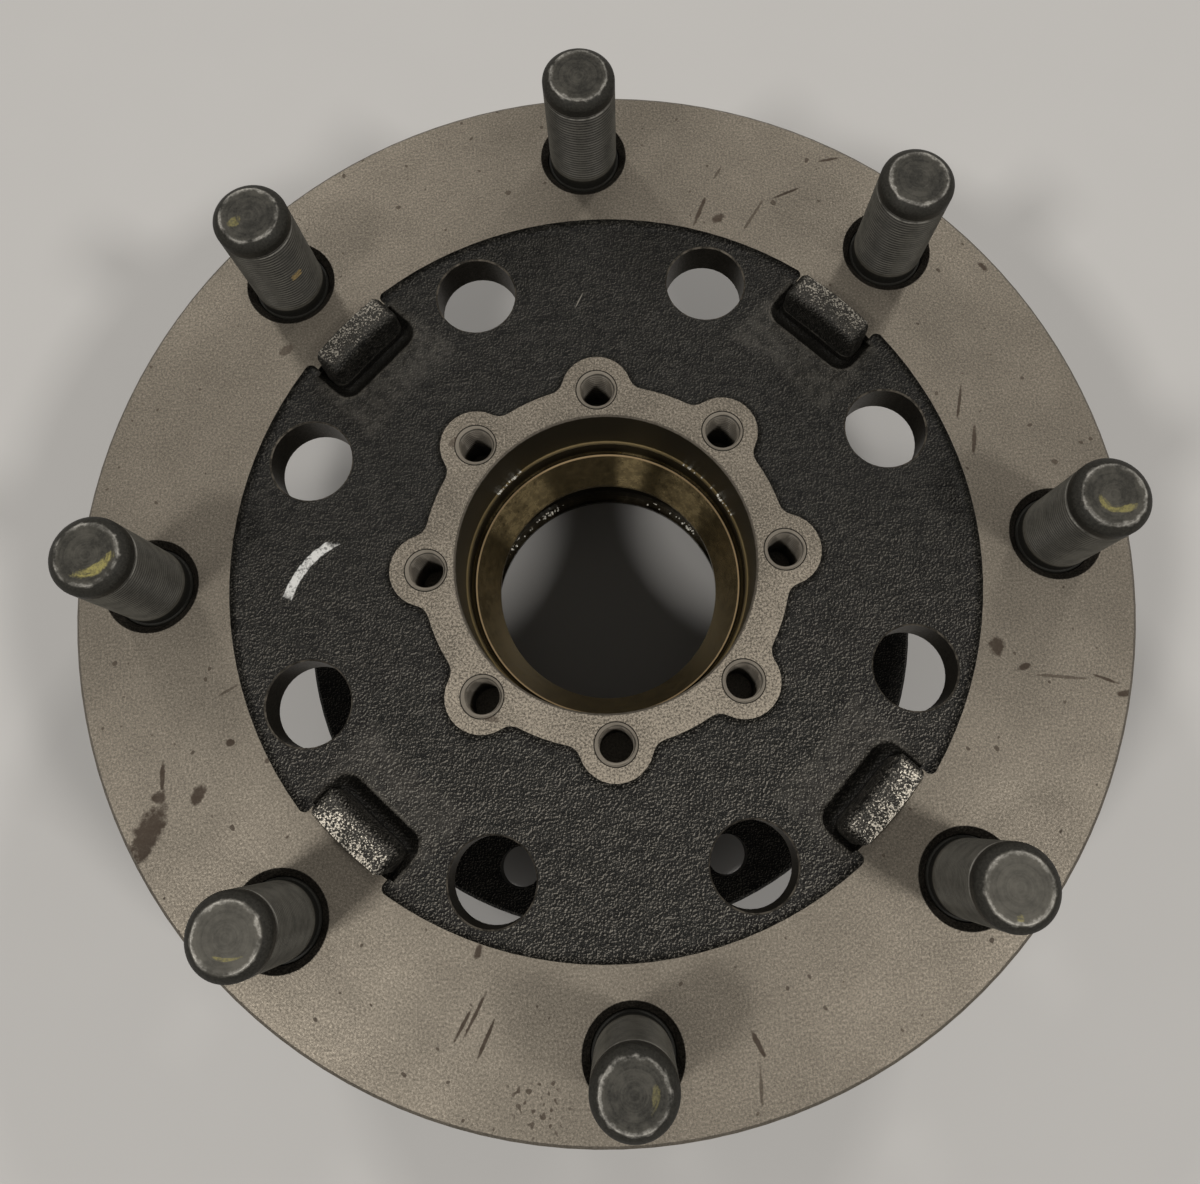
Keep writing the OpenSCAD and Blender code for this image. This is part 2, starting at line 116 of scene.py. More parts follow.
class Sheet:
    """Lays nodes out in one tree and joins them into formulas."""

    def __init__(self, tree):
        self.tree = tree
        self.count = 0

    def node(self, kind, **settings):
        made = self.tree.nodes.new(kind)
        made.location = (190 * (self.count // 10), -170 * (self.count % 10))
        self.count += 1
        for name, value in settings.items():
            setattr(made, name, value)
        return made

    def feed(self, socket, value):
        if isinstance(value, Term):
            self.tree.links.new(value.socket, socket)
        else:
            socket.default_value = value

    def math(self, operation, *values):
        made = self.node("ShaderNodeMath", operation=operation)
        for socket, value in zip(made.inputs, values):
            self.feed(socket, value)
        return Term(self, made.outputs[0])

    def vector(self, operation, *values):
        made = self.node("ShaderNodeVectorMath", operation=operation)
        for socket, value in zip(made.inputs, values):
            self.feed(socket, value)
        return Term(self, made.outputs[0])

    def scale(self, vector, factor):
        made = self.node("ShaderNodeVectorMath", operation="SCALE")
        self.feed(made.inputs[0], vector)
        self.feed(made.inputs["Scale"], factor)
        return Term(self, made.outputs[0])

    def split(self, vector):
        made = self.node("ShaderNodeSeparateXYZ")
        self.feed(made.inputs[0], vector)
        return [Term(self, socket) for socket in made.outputs]

    def join(self, x, y, z):
        made = self.node("ShaderNodeCombineXYZ")
        for socket, value in zip(made.inputs, (x, y, z)):
            self.feed(socket, value)
        return Term(self, made.outputs[0])

    def around(self, radius, angle, height):
        """The point at a radius, an angle and a height round the axis."""
        return self.join(radius * self.math("COSINE", angle), radius * self.math("SINE", angle), height)

    def ramp(self, value, start, end, low=0.0, high=1.0, kind="LINEAR"):
        """low before start, high after end, and a slope between them."""
        made = self.node("ShaderNodeMapRange", interpolation_type=kind)
        for socket, number in zip(made.inputs, (value, start, end, low, high)):
            self.feed(socket, number)
        return Term(self, made.outputs[0])

    def band(self, value, low, high, soft):
        """1 between low and high, with soft edges."""
        return self.ramp(value, low - soft, low + soft) * self.ramp(
            value, high - soft, high + soft, 1.0, 0.0
        )

    def noise(self, vector, scale, detail=2.0, roughness=0.5, distortion=0.0):
        made = self.node("ShaderNodeTexNoise")
        self.feed(made.inputs["Vector"], vector)
        made.inputs["Scale"].default_value = scale
        made.inputs["Detail"].default_value = detail
        made.inputs["Roughness"].default_value = roughness
        made.inputs["Distortion"].default_value = distortion
        return Term(self, made.outputs[0])

    def mix(self, factor, first, second):
        """A colour between two, each a term or three numbers."""
        made = self.node("ShaderNodeMix", data_type="RGBA")
        self.feed(made.inputs[0], factor)
        for socket, colour in ((made.inputs[6], first), (made.inputs[7], second)):
            self.feed(socket, colour if isinstance(colour, Term) else (*colour, 1.0))
        return Term(self, made.outputs[2])

    def blend(self, factor, first, second):
        """A number between two."""
        made = self.node("ShaderNodeMix", data_type="FLOAT")
        self.feed(made.inputs[0], factor)
        self.feed(made.inputs[2], first)
        self.feed(made.inputs[3], second)
        return Term(self, made.outputs[0])

    def use(self, group, **values):
        """Places a node group and returns its outputs by name."""
        kind = "GeometryNodeGroup" if group.bl_idname == "GeometryNodeTree" else "ShaderNodeGroup"
        made = self.node(kind, node_tree=group)
        for name, value in values.items():
            self.feed(made.inputs[name.replace("_", " ")], value)
        return {socket.name: Term(self, socket) for socket in made.outputs}


def new_group(name, inputs, outputs):
    """A shader node group with named sockets: its sheet, its inputs and its output node."""
    group = bpy.data.node_groups.new(name, "ShaderNodeTree")
    for kind, way in ((inputs, "INPUT"), (outputs, "OUTPUT")):
        for label, socket in kind.items():
            group.interface.new_socket(name=label, in_out=way, socket_type="NodeSocket" + socket)
    sheet = Sheet(group)
    entry = sheet.node("NodeGroupInput")
    given = {s.name: Term(sheet, s) for s in entry.outputs if s.name}
    return group, sheet, given, sheet.node("NodeGroupOutput")


# Shared effects


def make_nearest():
    """Place measured from the nearest of several equal features on a circle."""
    group, s, given, out = new_group(
        "Nearest on a circle",
        {"Position": "Vector", "Circle": "Float", "Pitch": "Float", "Turn": "Float"},
        {"Sideways": "Float", "Distance": "Float"},
    )
    x, y, _ = s.split(given["Position"])
    radius = s.math("SQRT", x * x + y * y)
    angle = s.math("ARCTAN2", y, x) - given["Turn"]
    near = angle - s.math("ROUND", angle / given["Pitch"]) * given["Pitch"]
    outward = radius * s.math("COSINE", near) - given["Circle"]
    sideways = radius * s.math("SINE", near)
    s.feed(out.inputs["Sideways"], sideways)
    s.feed(out.inputs["Distance"], s.math("SQRT", outward * outward + sideways * sideways))
    return group


def make_cast_grain():
    """Lumps and pits of a sand casting under its black coat, with masks for painted glints on the slopes that
    face one way and painted shade on the others.
    """
    group, s, given, out = new_group(
        "Cast grain",
        {"Position": "Vector"},
        {"Height": "Float", "Speck": "Float", "Hollow": "Float"},
    )
    place = given["Position"]
    coarse = s.noise(place, 0.38, 2.0, 0.5)
    wrinkle = s.noise(s.vector("MULTIPLY", place, (0.16, 0.42, 0.3)), 1.0, 3.0, 0.55, 0.8)
    grain = s.noise(place, 1.45, 2.0, 0.6)
    below = s.noise(s.vector("ADD", place, (-0.19, 0.24, 0.0)), 1.45, 2.0, 0.6)
    # Emboss: the grain minus a shifted copy of it. Speck marks painted glints on the slopes that face one way,
    # Hollow marks painted shade on the others.
    slope = grain - below + (wrinkle - 0.5) * 0.15
    s.feed(out.inputs["Height"], coarse * 0.3 + grain * 0.5 + wrinkle * 0.2)
    s.feed(out.inputs["Speck"], s.ramp(slope, 0.06, 0.18))
    s.feed(out.inputs["Hollow"], s.ramp(slope, -0.02, -0.12))
    return group


def make_turned_grain():
    """Fine grain of a ground or turned face, with faint rings round an axis."""
    group, s, given, out = new_group(
        "Turned grain",
        {"Position": "Vector", "Radius": "Float", "Rings": "Float"},
        {"Height": "Float", "Tone": "Float"},
    )
    grain = s.noise(given["Position"], 1.5, 2.5, 0.85)
    cloud = s.noise(given["Position"], 0.05, 4.0, 0.6)
    rings = s.noise(s.join(given["Radius"] * given["Rings"], 0.0, 0.0), 1.0, 2.0, 0.6)
    s.feed(out.inputs["Height"], grain * 0.7 + rings * 0.3)
    s.feed(out.inputs["Tone"], grain * 0.75 + cloud * 0.15 + rings * 0.1)
    return group


def make_smear():
    """A ragged smear of given length and width, turned about its middle."""
    group, s, given, out = new_group(
        "Smear",
        {
            "Position": "Vector",
            "Centre": "Vector",
            "Length": "Float",
            "Width": "Float",
            "Turn": "Float",
            "Bend": "Float",
            "Ragged": "Float",
        },
        {"Mask": "Float", "Bar": "Float"},
    )
    away = s.vector("SUBTRACT", given["Position"], given["Centre"])
    x, y, _ = s.split(away)
    cosine = s.math("COSINE", given["Turn"])
    sine = s.math("SINE", given["Turn"])
    along = x * cosine + y * sine
    across = y * cosine - x * sine - given["Bend"] * along * along
    a = along / given["Length"]
    b = across / given["Width"]
    size = s.math("SQRT", a * a + b * b) * 2.0 + given["Ragged"] * 1.5
    s.feed(out.inputs["Mask"], s.ramp(size, 0.75, 1.1, 1.0, 0.0))
    square = s.math("MAXIMUM", s.math("ABSOLUTE", a), s.math("ABSOLUTE", b)) * 2.0
    s.feed(out.inputs["Bar"], s.ramp(square + given["Ragged"] * 0.9, 0.85, 1.05, 1.0, 0.0))
    return group


# Stains, judged one by one: direction in degrees and radius of the middle, length, width and turn in degrees
DARK_STAINS = (
    (72, 121, 10, 1.5, 65),
    (69, 120, 5, 3, 20),
    (61, 137, 10, 1, 20),
    (58, 155, 7, 1, 8),
    (35, 156, 4, 2, -50),
    (21, 122, 12, 1, 76),
    (15, 121, 9, 1.5, 80),
    (344, 119, 6, 5, 90),
    (342, 128, 4, 2, 20),
    (343, 152, 8, 1, -24),
    (342, 158, 5, 2, 0),
    (284, 140, 8, 1.5, -65),
    (249, 116, 4, 2, 75),
    (251, 132, 13, 1, 60),
    (250, 135, 10, 1, 58),
    (253, 137, 12, 1, 63),
    (208, 153, 17, 8, 65),
    (205, 146, 4, 4, 0),
    (203, 143, 9, 1.5, 90),
    (207, 136, 6, 4, 60),
    (203, 122, 3, 2, 0),
)
FAINT_STAINS = (
    (71, 136, 5, 1, 55),
    (64, 125, 14, 1, 55),
    (342, 139, 16, 1, -8),
    (283, 151, 10, 1, 88),
    (196, 118, 6, 1, 28),
    (143, 123, 5, 3, 35),
    (138, 60, 6, 3, 30),
    (231, 58, 7, 2, -20),
)


def round_place(radius, degrees):
    """The point (x, y) at a radius and a direction on the hub."""
    turn = math.radians(degrees)
    return radius * math.cos(turn), radius * math.sin(turn)


def nearest_oval(s, place, ovals):
    """How far a point is from the nearest of some ovals, where 0.5 is an oval's edge."""
    nearest = 9.0
    for direction, radius, length, width, turn in ovals:
        shift = s.node("ShaderNodeMapping", vector_type="TEXTURE")
        s.feed(shift.inputs["Vector"], place)
        shift.inputs["Location"].default_value = (*round_place(radius, direction), 0.0)
        shift.inputs["Rotation"].default_value = (0.0, 0.0, math.radians(turn))
        shift.inputs["Scale"].default_value = (length, width, 1000.0)
        size = s.node("ShaderNodeVectorMath", operation="LENGTH")
        s.tree.links.new(shift.outputs[0], size.inputs[0])
        nearest = s.math("MINIMUM", nearest, Term(s, size.outputs["Value"]))
    return nearest


def smeared(s, smear, place, centre, length, width, degrees, ragged, bend=0.0):
    """The smear group's outputs for one smear on the hub."""
    return s.use(
        smear,
        Position=place,
        Centre=(*centre, 0.0),
        Length=length,
        Width=width,
        Turn=math.radians(degrees),
        Bend=bend,
        Ragged=ragged,
    )


def object_place(s):
    """Object coordinates in millimetres."""
    source = s.node("ShaderNodeTexCoord")
    return s.scale(Term(s, source.outputs["Object"]), 1000.0)


def normal_up(s):
    source = s.node("ShaderNodeNewGeometry")
    return s.split(Term(s, source.outputs["Normal"]))


def new_material(name):
    material = bpy.data.materials.new(name)
    material.use_nodes = True
    material.node_tree.nodes.clear()
    s = Sheet(material.node_tree)
    shader = s.node("ShaderNodeBsdfPrincipled")
    end = s.node("ShaderNodeOutputMaterial")
    s.tree.links.new(shader.outputs[0], end.inputs[0])
    return material, s, shader


def bumped(s, shader, height, strength, distance=0.1):
    """Feeds a height in millimetres to the shader's Normal."""
    bump = s.node("ShaderNodeBump")
    bump.inputs["Strength"].default_value = strength
    bump.inputs["Distance"].default_value = distance * MM
    s.feed(bump.inputs["Height"], height)
    s.tree.links.new(bump.outputs[0], shader.inputs["Normal"])


def casting_material(look, nearest, cast_grain, turned_grain, smear):
    """Black cast skin with bare machined faces, told apart by their places on the hub."""
    material, s, shader = new_material("Casting")
    place = object_place(s)
    x, y, z = s.split(place)
    radius = s.math("SQRT", x * x + y * y)
    _, _, nz = normal_up(s)
    pitch = math.radians(PITCH)
    stud = s.use(nearest, Position=place, Circle=STUD_CIRCLE, Pitch=pitch, Turn=0.0)
    cap = s.use(nearest, Position=place, Circle=CAP_CIRCLE, Pitch=pitch, Turn=0.0)
    web = s.use(nearest, Position=place, Circle=WEB_CIRCLE, Pitch=pitch, Turn=pitch / 2)
    torn = s.noise(place, 0.35, 4.0, 0.65) - 0.5

    # Where the casting is bare
    level = s.band(z, -0.35, 0.3, 0.06) * s.ramp(nz, 0.9, 0.97)
    ring = level * s.ramp(radius + torn * 0.9, 109.0, 109.6)
    boss = level * s.ramp(radius, 76.0, 77.0, 1.0, 0.0)
    faced = s.math("MAXIMUM", ring, boss)
    mouth = s.ramp(cap["Distance"], 6.5, 6.6, 1.0, 0.0) * s.ramp(z, -40.0, -39.0)
    bore = s.ramp(radius, 46.6, 46.9, 1.0, 0.0)
    web_wall = s.ramp(web["Distance"], 13.3, 13.5, 1.0, 0.0) * s.ramp(nz, 0.8, 0.9, 1.0, 0.0)
    stud_wall = s.ramp(stud["Distance"], 14.3, 14.4, 1.0, 0.0)
    pilot = s.band(radius, PILOT_R - 0.5, PILOT_R + 0.3, 0.05) * s.ramp(nz, 0.8, 0.9, 1.0, 0.0)
    pilot = pilot * s.ramp(z, 0.0, 0.2)
    rim = s.ramp(radius, 158.7, 158.9) * s.ramp(nz, 0.9, 0.97, 1.0, 0.0)
    rim_side = s.ramp(radius, 159.5, 159.7) * s.ramp(nz, 0.3, 0.4, 1.0, 0.0)
    disc_seat = s.ramp(z, -113.6, -113.4, 1.0, 0.0) * s.ramp(radius, 57.0, 57.3)
    bare = s.math("MAXIMUM", faced, bore)
    for region in (mouth, web_wall, stud_wall, pilot, rim, disc_seat):
        bare = s.math("MAXIMUM", bare, region)

    # Cast skin with painted glints and painted shade on its grain, painted shade and highlights round the lug
    # pockets, and the rubbed flecks on the lugs' tops
    cast = s.use(cast_grain, Position=place)
    lug_top = s.ramp(z, 8.2, 8.9) * (1.0 - bare)
    rubbed = s.noise(place, 0.3, 2.0, 0.5) * 0.3 + (radius - 105.8) * 0.016
    flecks = s.ramp(s.noise(place, 1.7, 1.5, 0.7) + rubbed, 0.71, 0.78) * lug_top
    # Painted highlight: the rubbed flecks are painted brighter on the lower lugs
    flecks = flecks * s.ramp(y, 10.0, -10.0, 0.4, 1.0)
    # Painted glints on the grain, stronger towards the bottom (lower y)
    lower = s.ramp(y, 20.0, -70.0, 0.3, 1.0)
    # Painted shade: the grain's pits and its shaded slopes get the near-black pit colour
    black = s.mix(s.ramp(cast["Height"], 0.4, 0.6), look.pit_and_shade_black, look.cast_colour)
    black = s.mix(cast["Hollow"] * 0.75, black, look.pit_and_shade_black)
    black = s.mix(cast["Speck"] * lower, black, look.glint_and_nick_colour)
    quarter = s.use(nearest, Position=place, Circle=LUG_CIRCLE, Pitch=math.radians(90), Turn=pitch)
    beside = s.ramp(s.math("ABSOLUTE", quarter["Sideways"]), 18.5, 20.5, 1.0, 0.0)
    pocket = beside * s.ramp(radius, 82.0, 85.0) * s.ramp(radius, 117.0, 118.0, 1.0, 0.0)
    # Painted shade down in the pockets round the lugs
    pocket_shade = pocket * s.band(z, -9.0, -4.0, 0.4)
    # Painted highlight along the pockets' rounded rims
    pocket_rim_highlight = pocket * s.band(z, -3.9, -3.25, 0.15) * s.ramp(torn, -0.06, 0.06, 0.3, 1.0)
    black = s.mix(lug_top * 0.4, black, look.worn_skin)
    black = s.mix(pocket_shade * 0.8, black, look.shade_colour)
    black = s.mix(pocket_rim_highlight * 0.35, black, look.glint_and_nick_colour)
    black = s.mix(flecks * 0.9, black, look.fleck_colour)

    # Machined faces, and the darker oily walls below them, painted darker as painted shade too
    turned = s.use(turned_grain, Position=place, Radius=radius, Rings=1.6)
    tone = s.ramp(turned["Tone"], 0.36, 0.64)
    tone = s.blend(boss, tone, s.ramp(turned["Tone"], 0.42, 0.56))
    steel = s.mix(tone, look.dark_steel, look.pale_steel)
    # Painted light: more glints on the lower side of the boss
    boss_lower_light = boss * s.ramp(y, 25.0, -35.0, 0.0, 0.075)
    # Painted glints on bright grains of the machined faces
    sparkle = faced * s.ramp(turned["Tone"] + boss_lower_light, 0.52, 0.68) * s.blend(boss, 0.25, 0.8)
    steel = s.mix(sparkle, steel, look.sparkle_colour)
    # Painted shade: the walls of the web holes and the flange's rim side are painted darker than the faces
    wall = s.mix(tone, look.dark_wall, look.pale_wall)
    steel = s.mix(s.math("MAXIMUM", web_wall, rim_side), steel, wall)
    # Painted highlight along the top rim of each web hole
    web_rim_glint = web_wall * s.band(z, -4.1, -3.3, 0.15) * s.ramp(torn, -0.05, 0.1)
    steel = s.mix(web_rim_glint * 0.7, steel, look.pale_steel)
    # The bore below the face: oily, and painted darker as painted shade
    oiled_and_shaded = bore * s.ramp(z, -1.2, -0.4, 1.0, 0.0)
    steel = s.mix(oiled_and_shaded, steel, look.bore_steel)
    # Painted highlight: a golden line on the oily edge of the bore's step
    step = s.band(z, -28.05, -27.15, 0.08) * oiled_and_shaded
    steel = s.mix(step * s.ramp(radius, 45.2, 45.5, 0.3, 1.0), steel, look.step_edge_highlight)
    # Painted shade in the gap round the outer cup's seat and in the cavity below it
    seat = s.band(z, -36.2, -28.2, 0.1) * oiled_and_shaded
    cavity = s.ramp(z, -54.0, -53.0, 1.0, 0.0) * oiled_and_shaded
    steel = s.mix(s.math("MAXIMUM", seat, cavity) * 0.8, steel, look.pit_and_shade_black)
    # Painted shade in the chamfer round each stud's foot, broken by lighter dust specks
    stud_mouth_shade = s.band(stud["Distance"], 10.0, 14.25, 0.1) * s.ramp(z, -30.0, -29.0)
    shade_with_dust = s.ramp(turned["Tone"], 0.4, 0.66, 0.88, 0.55)
    steel = s.mix(stud_mouth_shade * shade_with_dust, steel, look.pit_and_shade_black)
    colour = s.mix(bare, black, steel)
    hole_line = s.band(cap["Distance"], 6.3, 6.66, 0.06) * s.ramp(z, -0.2, -0.1)
    colour = s.mix(hole_line * 0.95, colour, look.pit_and_shade_black)
    boss_edge = boss * s.ramp(torn + s.ramp(turned["Tone"], 0.3, 0.7, -0.1, 0.1), 0.16, 0.2)
    colour = s.mix(boss_edge * 0.3, colour, look.dark_wall)

    dark = s.ramp(nearest_oval(s, place, DARK_STAINS) * 2.0 + torn * 1.5, 0.75, 1.1, 0.95, 0.0)
    faint = s.ramp(nearest_oval(s, place, FAINT_STAINS) * 2.0 + torn * 1.5, 0.75, 1.1, 0.68, 0.0)
    soiled = s.math("MAXIMUM", dark, faint)
    splashed = smeared(s, smear, place, (-26.0, -148.0), 22.0, 15.0, -60, torn)["Mask"]
    dots = s.ramp(s.noise(place, 0.62, 0.0, 0.5), 0.64, 0.7)
    far_dots = s.ramp(s.noise(place, 0.33, 0.0, 0.5), 0.8, 0.82) * ring
    soiled = s.math("MAXIMUM", soiled, s.math("MAXIMUM", splashed * dots, far_dots) * 0.75)
    stain = soiled * faced
    colour = s.mix(stain * s.ramp(torn, -0.2, 0.2, 1.0, 0.85), colour, look.stain_colour)
    nick = smeared(s, smear, place, (-4.0, 87.0), 6.0, 0.45, 62, torn * 0.5)["Mask"]
    nick = nick * (1.0 - bare)
    colour = s.mix(nick * 0.8, colour, look.glint_and_nick_colour)

    pen = smeared(s, smear, place, (-92.0, 4.0), 21.0, 3.0, 50, torn, -0.018)["Bar"]
    pen = pen * s.ramp(z, -3.6, -3.4) * s.ramp(nz, 0.8, 0.9) * (1.0 - bare)
    pen = pen * s.ramp(cast["Height"], 0.4, 0.5, 0.3, 0.95)
    colour = s.mix(pen, colour, look.pen_colour)

    s.feed(shader.inputs["Base Color"], colour)
    metal = s.math("MAXIMUM", bare * (1.0 - stain), flecks * 0.6)
    s.feed(shader.inputs["Metallic"], metal * 0.72)
    shader.inputs["Specular IOR Level"].default_value = 0.1
    rough_steel = s.ramp(turned["Tone"], 0.3, 0.7, 0.52, 0.4)
    rough_cast = s.ramp(cast["Height"], 0.4, 0.6, 0.42, 0.28)
    rough = s.blend(bare, rough_cast, rough_steel)
    rough = s.blend(oiled_and_shaded, rough, 0.3)
    s.feed(shader.inputs["Roughness"], s.blend(s.math("MAXIMUM", stain, pen), rough, 0.6))
    height = s.blend(bare, cast["Height"] * 7.0, turned["Height"] * 0.6)
    bumped(s, shader, height, 1.0, 0.12)
    return material


def stud_material(look, nearest, turned_grain, smear):
    """Dark phosphate with a rubbed rim, turning rings on the end and dabs of paint."""
    material, s, shader = new_material("Stud phosphate")
    place = object_place(s)
    x, y, z = s.split(place)
    near = s.use(nearest, Position=place, Circle=STUD_CIRCLE, Pitch=math.radians(PITCH), Turn=0.0)
    radius = near["Distance"]
    turned = s.use(turned_grain, Position=place, Radius=radius, Rings=2.2)
    end = s.ramp(z, 47.5, 47.7)
    patch = s.noise(place, 0.22, 3.0, 0.6)
    torn = s.noise(place, 0.35, 4.0, 0.65) - 0.5
    rim = s.band(radius + torn * 3.0, 7.9, 8.75, 0.25) + s.band(radius, 8.35, 8.72, 0.1) * 0.5
    rub = rim * s.ramp(z, 47.2, 47.5) * s.ramp(patch, 0.36, 0.6) * s.ramp(turned["Tone"], 0.35, 0.6, 0.4, 1.0)
    starts = s.math("MAXIMUM", s.band(z, 42.0, 42.35, 0.1), s.band(z, 40.5, 40.8, 0.1))
    # Crests lighter than the roots: rubbed metal, and a painted highlight that shows the thread
    crest = s.ramp(radius, 10.55, 10.9) * s.band(z, 3.0, 42.0, 0.3) * s.ramp(patch, 0.3, 0.6, 0.5, 1.0)
    tone = s.ramp(turned["Tone"], 0.34, 0.66)
    base = s.mix(tone, look.dark_colour, look.pale_colour)
    rings = s.noise(s.join(radius * 1.1, patch * 0.6, 0.0), 1.0, 3.0, 0.65)
    mottled = s.ramp(rings * 0.4 + patch * 0.6, 0.42, 0.6)
    # Mottled ends, plus painted light: the ends of the studs on the lower side, but not the bottom one, are
    # painted lighter
    mottle_and_lower_light = mottled * 0.4 + s.ramp(y, 20.0, -100.0, 0.0, 0.35) * s.ramp(s.math("ABSOLUTE", x), 30.0, 80.0)
    base = s.mix(end * mottle_and_lower_light, base, look.crest_colour)
    base = s.mix(crest * 0.8, base, look.crest_colour)
    foot = s.ramp(z, 1.0, 3.4, 1.0, 0.0)
    base = s.mix(foot * 0.5, base, look.foot_colour)
    worn = s.math("MAXIMUM", rub * 0.6, starts * s.ramp(patch, 0.35, 0.55) * 0.4)
    colour = s.mix(worn, base, look.worn_colour)
    paint = 0.0
    for direction, dx, dy, dz, length, width, turn, strength in DABS:
        stud_x, stud_y = round_place(STUD_CIRCLE, direction)
        spot = smeared(s, smear, place, (stud_x + dx, stud_y + dy), length, width, turn, torn, 0.05)
        where = s.band(z, dz - 1.5, dz + 1.5, 0.4)
        paint = s.math("MAXIMUM", paint, spot["Mask"] * strength * where)
    streaks = s.noise(s.join(radius * 2.2, patch * 3.0, 0.0), 1.0, 2.0, 0.6)
    paint = paint * s.ramp(streaks, 0.38, 0.56, 0.12, 1.0) * s.ramp(turned["Tone"], 0.42, 0.54, 0.5, 1.0)
    dab = s.mix(s.ramp(z, 30.0, 40.0), look.primer_colour, look.dab_colour)
    colour = s.mix(paint, colour, dab)
    s.feed(shader.inputs["Base Color"], colour)
    s.feed(shader.inputs["Metallic"], (1.0 - paint) * (0.1 + worn * 0.6))
    shader.inputs["Specular IOR Level"].default_value = 0.15
    s.feed(shader.inputs["Roughness"], 0.58 - turned["Tone"] * 0.1 + paint * 0.2)
    bumped(s, shader, turned["Height"] * (0.6 + end * 0.6), 0.6, 0.1)
    return material


# Paint dabs, judged one by one: stud's direction, middle from its axis (x, y), height, length, width, turn in
# degrees and strength
DABS = (
    (180, 3, -4, 48, 12, 3, 30, 0.95),
    (135, -4, -2, 48, 4, 3, 45, 0.5),
    (135, 8, -8, 22, 4, 3, 60, 0.9),
    (0, -3, -2, 48, 5, 2, -55, 0.7),
    (0, 1, -4, 48, 9, 2, 0, 0.65),
    (225, 0, -5, 48, 7, 1, -5, 0.6),
    (315, -1, -7, 48, 2, 2, 0, 0.6),
    (270, 5, -1, 48, 6, 2, 80, 0.3),
)


# Painted highlights on the race, judged one by one: direction in degrees, cosine at the patch's end, strength
RACE_HIGHLIGHTS = (
    (135, 0.93, 0.9),
    (75, 0.985, 0.7),
    (45, 0.95, 0.85),
)


def cup_material(look, turned_grain):
    """Ground bearing steel under golden-brown oil, with painted highlights on the race and the front edge and
    painted shade on the front face.
    """
    material, s, shader = new_material("Oiled cup steel")
    place = object_place(s)
    x, y, z = s.split(place)
    radius = s.math("SQRT", x * x + y * y)
    turned = s.use(turned_grain, Position=place, Radius=z, Rings=1.5)
    film = s.noise(place, 0.3, 4.0, 0.7)
    # Painted highlights: bright patches on the race towards a few directions, given less metal so the lamps
    # light them
    thin = 0.0
    for degrees, narrow, share in RACE_HIGHLIGHTS:
        turn = math.radians(degrees)
        toward = (x * math.cos(turn) + y * math.sin(turn)) / radius
        thin = s.math("MAXIMUM", thin, s.ramp(toward, narrow, 1.0, kind="SMOOTHSTEP") * share)
    streaks = s.noise(s.join(toward * 9.0, z * 0.06, 0.0), 1.0, 3.0, 0.65)
    thin = thin * s.ramp(film * 0.5 + streaks * 0.5, 0.4, 0.58, 0.35, 1.0)
    steel = s.mix(s.ramp(film, 0.3, 0.6, 0.35, 1.0), look.oil_colour, look.steel_colour)
    steel = s.mix(thin, steel, look.race_highlight_colour)
    colour = s.mix(s.ramp(turned["Tone"], 0.35, 0.7) * 0.5, steel, look.pale_colour)
    fleck = s.ramp(s.noise(place, 0.9, 2.0, 0.6), 0.66, 0.72)
    colour = s.mix(fleck * 0.7, colour, look.deep_colour)
    # Painted highlight along the outer cup's front edge
    edge = s.band(radius, 43.1, 43.66, 0.06) * s.band(z, -36.6, -35.5, 0.1)
    colour = s.mix(edge, colour, look.edge_highlight_colour)
    # Painted shade on the outer cup's front face, between the edge lines
    face = s.band(z, -36.2, -35.6, 0.1) * s.band(radius, 43.65, 44.6, 0.06)
    colour = s.mix(face * 0.85, colour, look.deep_colour)
    # Darker deep down, below z -60, which takes in the inner cup
    deep = s.ramp(z, -60.0, -70.0)
    colour = s.mix(deep * 0.93, colour, look.deep_colour)
    s.feed(shader.inputs["Base Color"], colour)
    s.feed(shader.inputs["Metallic"], 0.88 - s.math("MAXIMUM", thin, edge) * 0.6)
    s.feed(shader.inputs["Roughness"], s.ramp(film, 0.3, 0.7, 0.14, 0.26) + thin * 0.1)
    bumped(s, shader, turned["Height"] * 0.5 + film * 0.5, 0.15, 0.05)
    return material


def thread_material(look, nearest, turned_grain):
    """Bare cut thread in the casting's iron, with painted glints on the crests and the mouth's chamfer and
    painted shade in the roots.
    """
    material, s, shader = new_material("Cut thread")
    place = object_place(s)
    _, _, z = s.split(place)
    turned = s.use(turned_grain, Position=place, Radius=z, Rings=2.0)
    cap = s.use(nearest, Position=place, Circle=CAP_CIRCLE, Pitch=math.radians(PITCH), Turn=0.0)
    # Painted glints on the crests and on the mouth's chamfer, painted shade in the roots
    crest = s.ramp(cap["Distance"], 5.55, 5.15)
    raised = s.math("MAXIMUM", s.ramp(turned["Tone"], 0.3, 0.7) * 0.2 + crest * 0.7, s.ramp(z, -1.25, -1.1))
    steel = s.mix(raised, look.dark_colour, look.pale_colour)
    s.feed(shader.inputs["Base Color"], steel)
    shader.inputs["Metallic"].default_value = 0.5
    s.feed(shader.inputs["Roughness"], s.ramp(turned["Tone"], 0.3, 0.7, 0.42, 0.3))
    bumped(s, shader, turned["Height"], 0.3, 0.05)
    return material


def grease_material(look):
    """Clear amber grease, painted pale in patches as painted glints."""
    material, s, shader = new_material("Amber grease")
    place = object_place(s)
    cloud = s.noise(place, 0.8, 2.0, 0.5)
    # Painted glints: patches of the beads are painted pale
    lit = s.ramp(cloud, 0.36, 0.5)
    s.feed(shader.inputs["Base Color"], s.mix(lit, look.dark_colour, look.pale_colour))
    s.feed(shader.inputs["Roughness"], s.ramp(cloud, 0.3, 0.7, 0.08, 0.2))
    shader.inputs["Specular IOR Level"].default_value = 0.8
    bumped(s, shader, cloud, 0.3, 0.1)
    return material


# Meshes


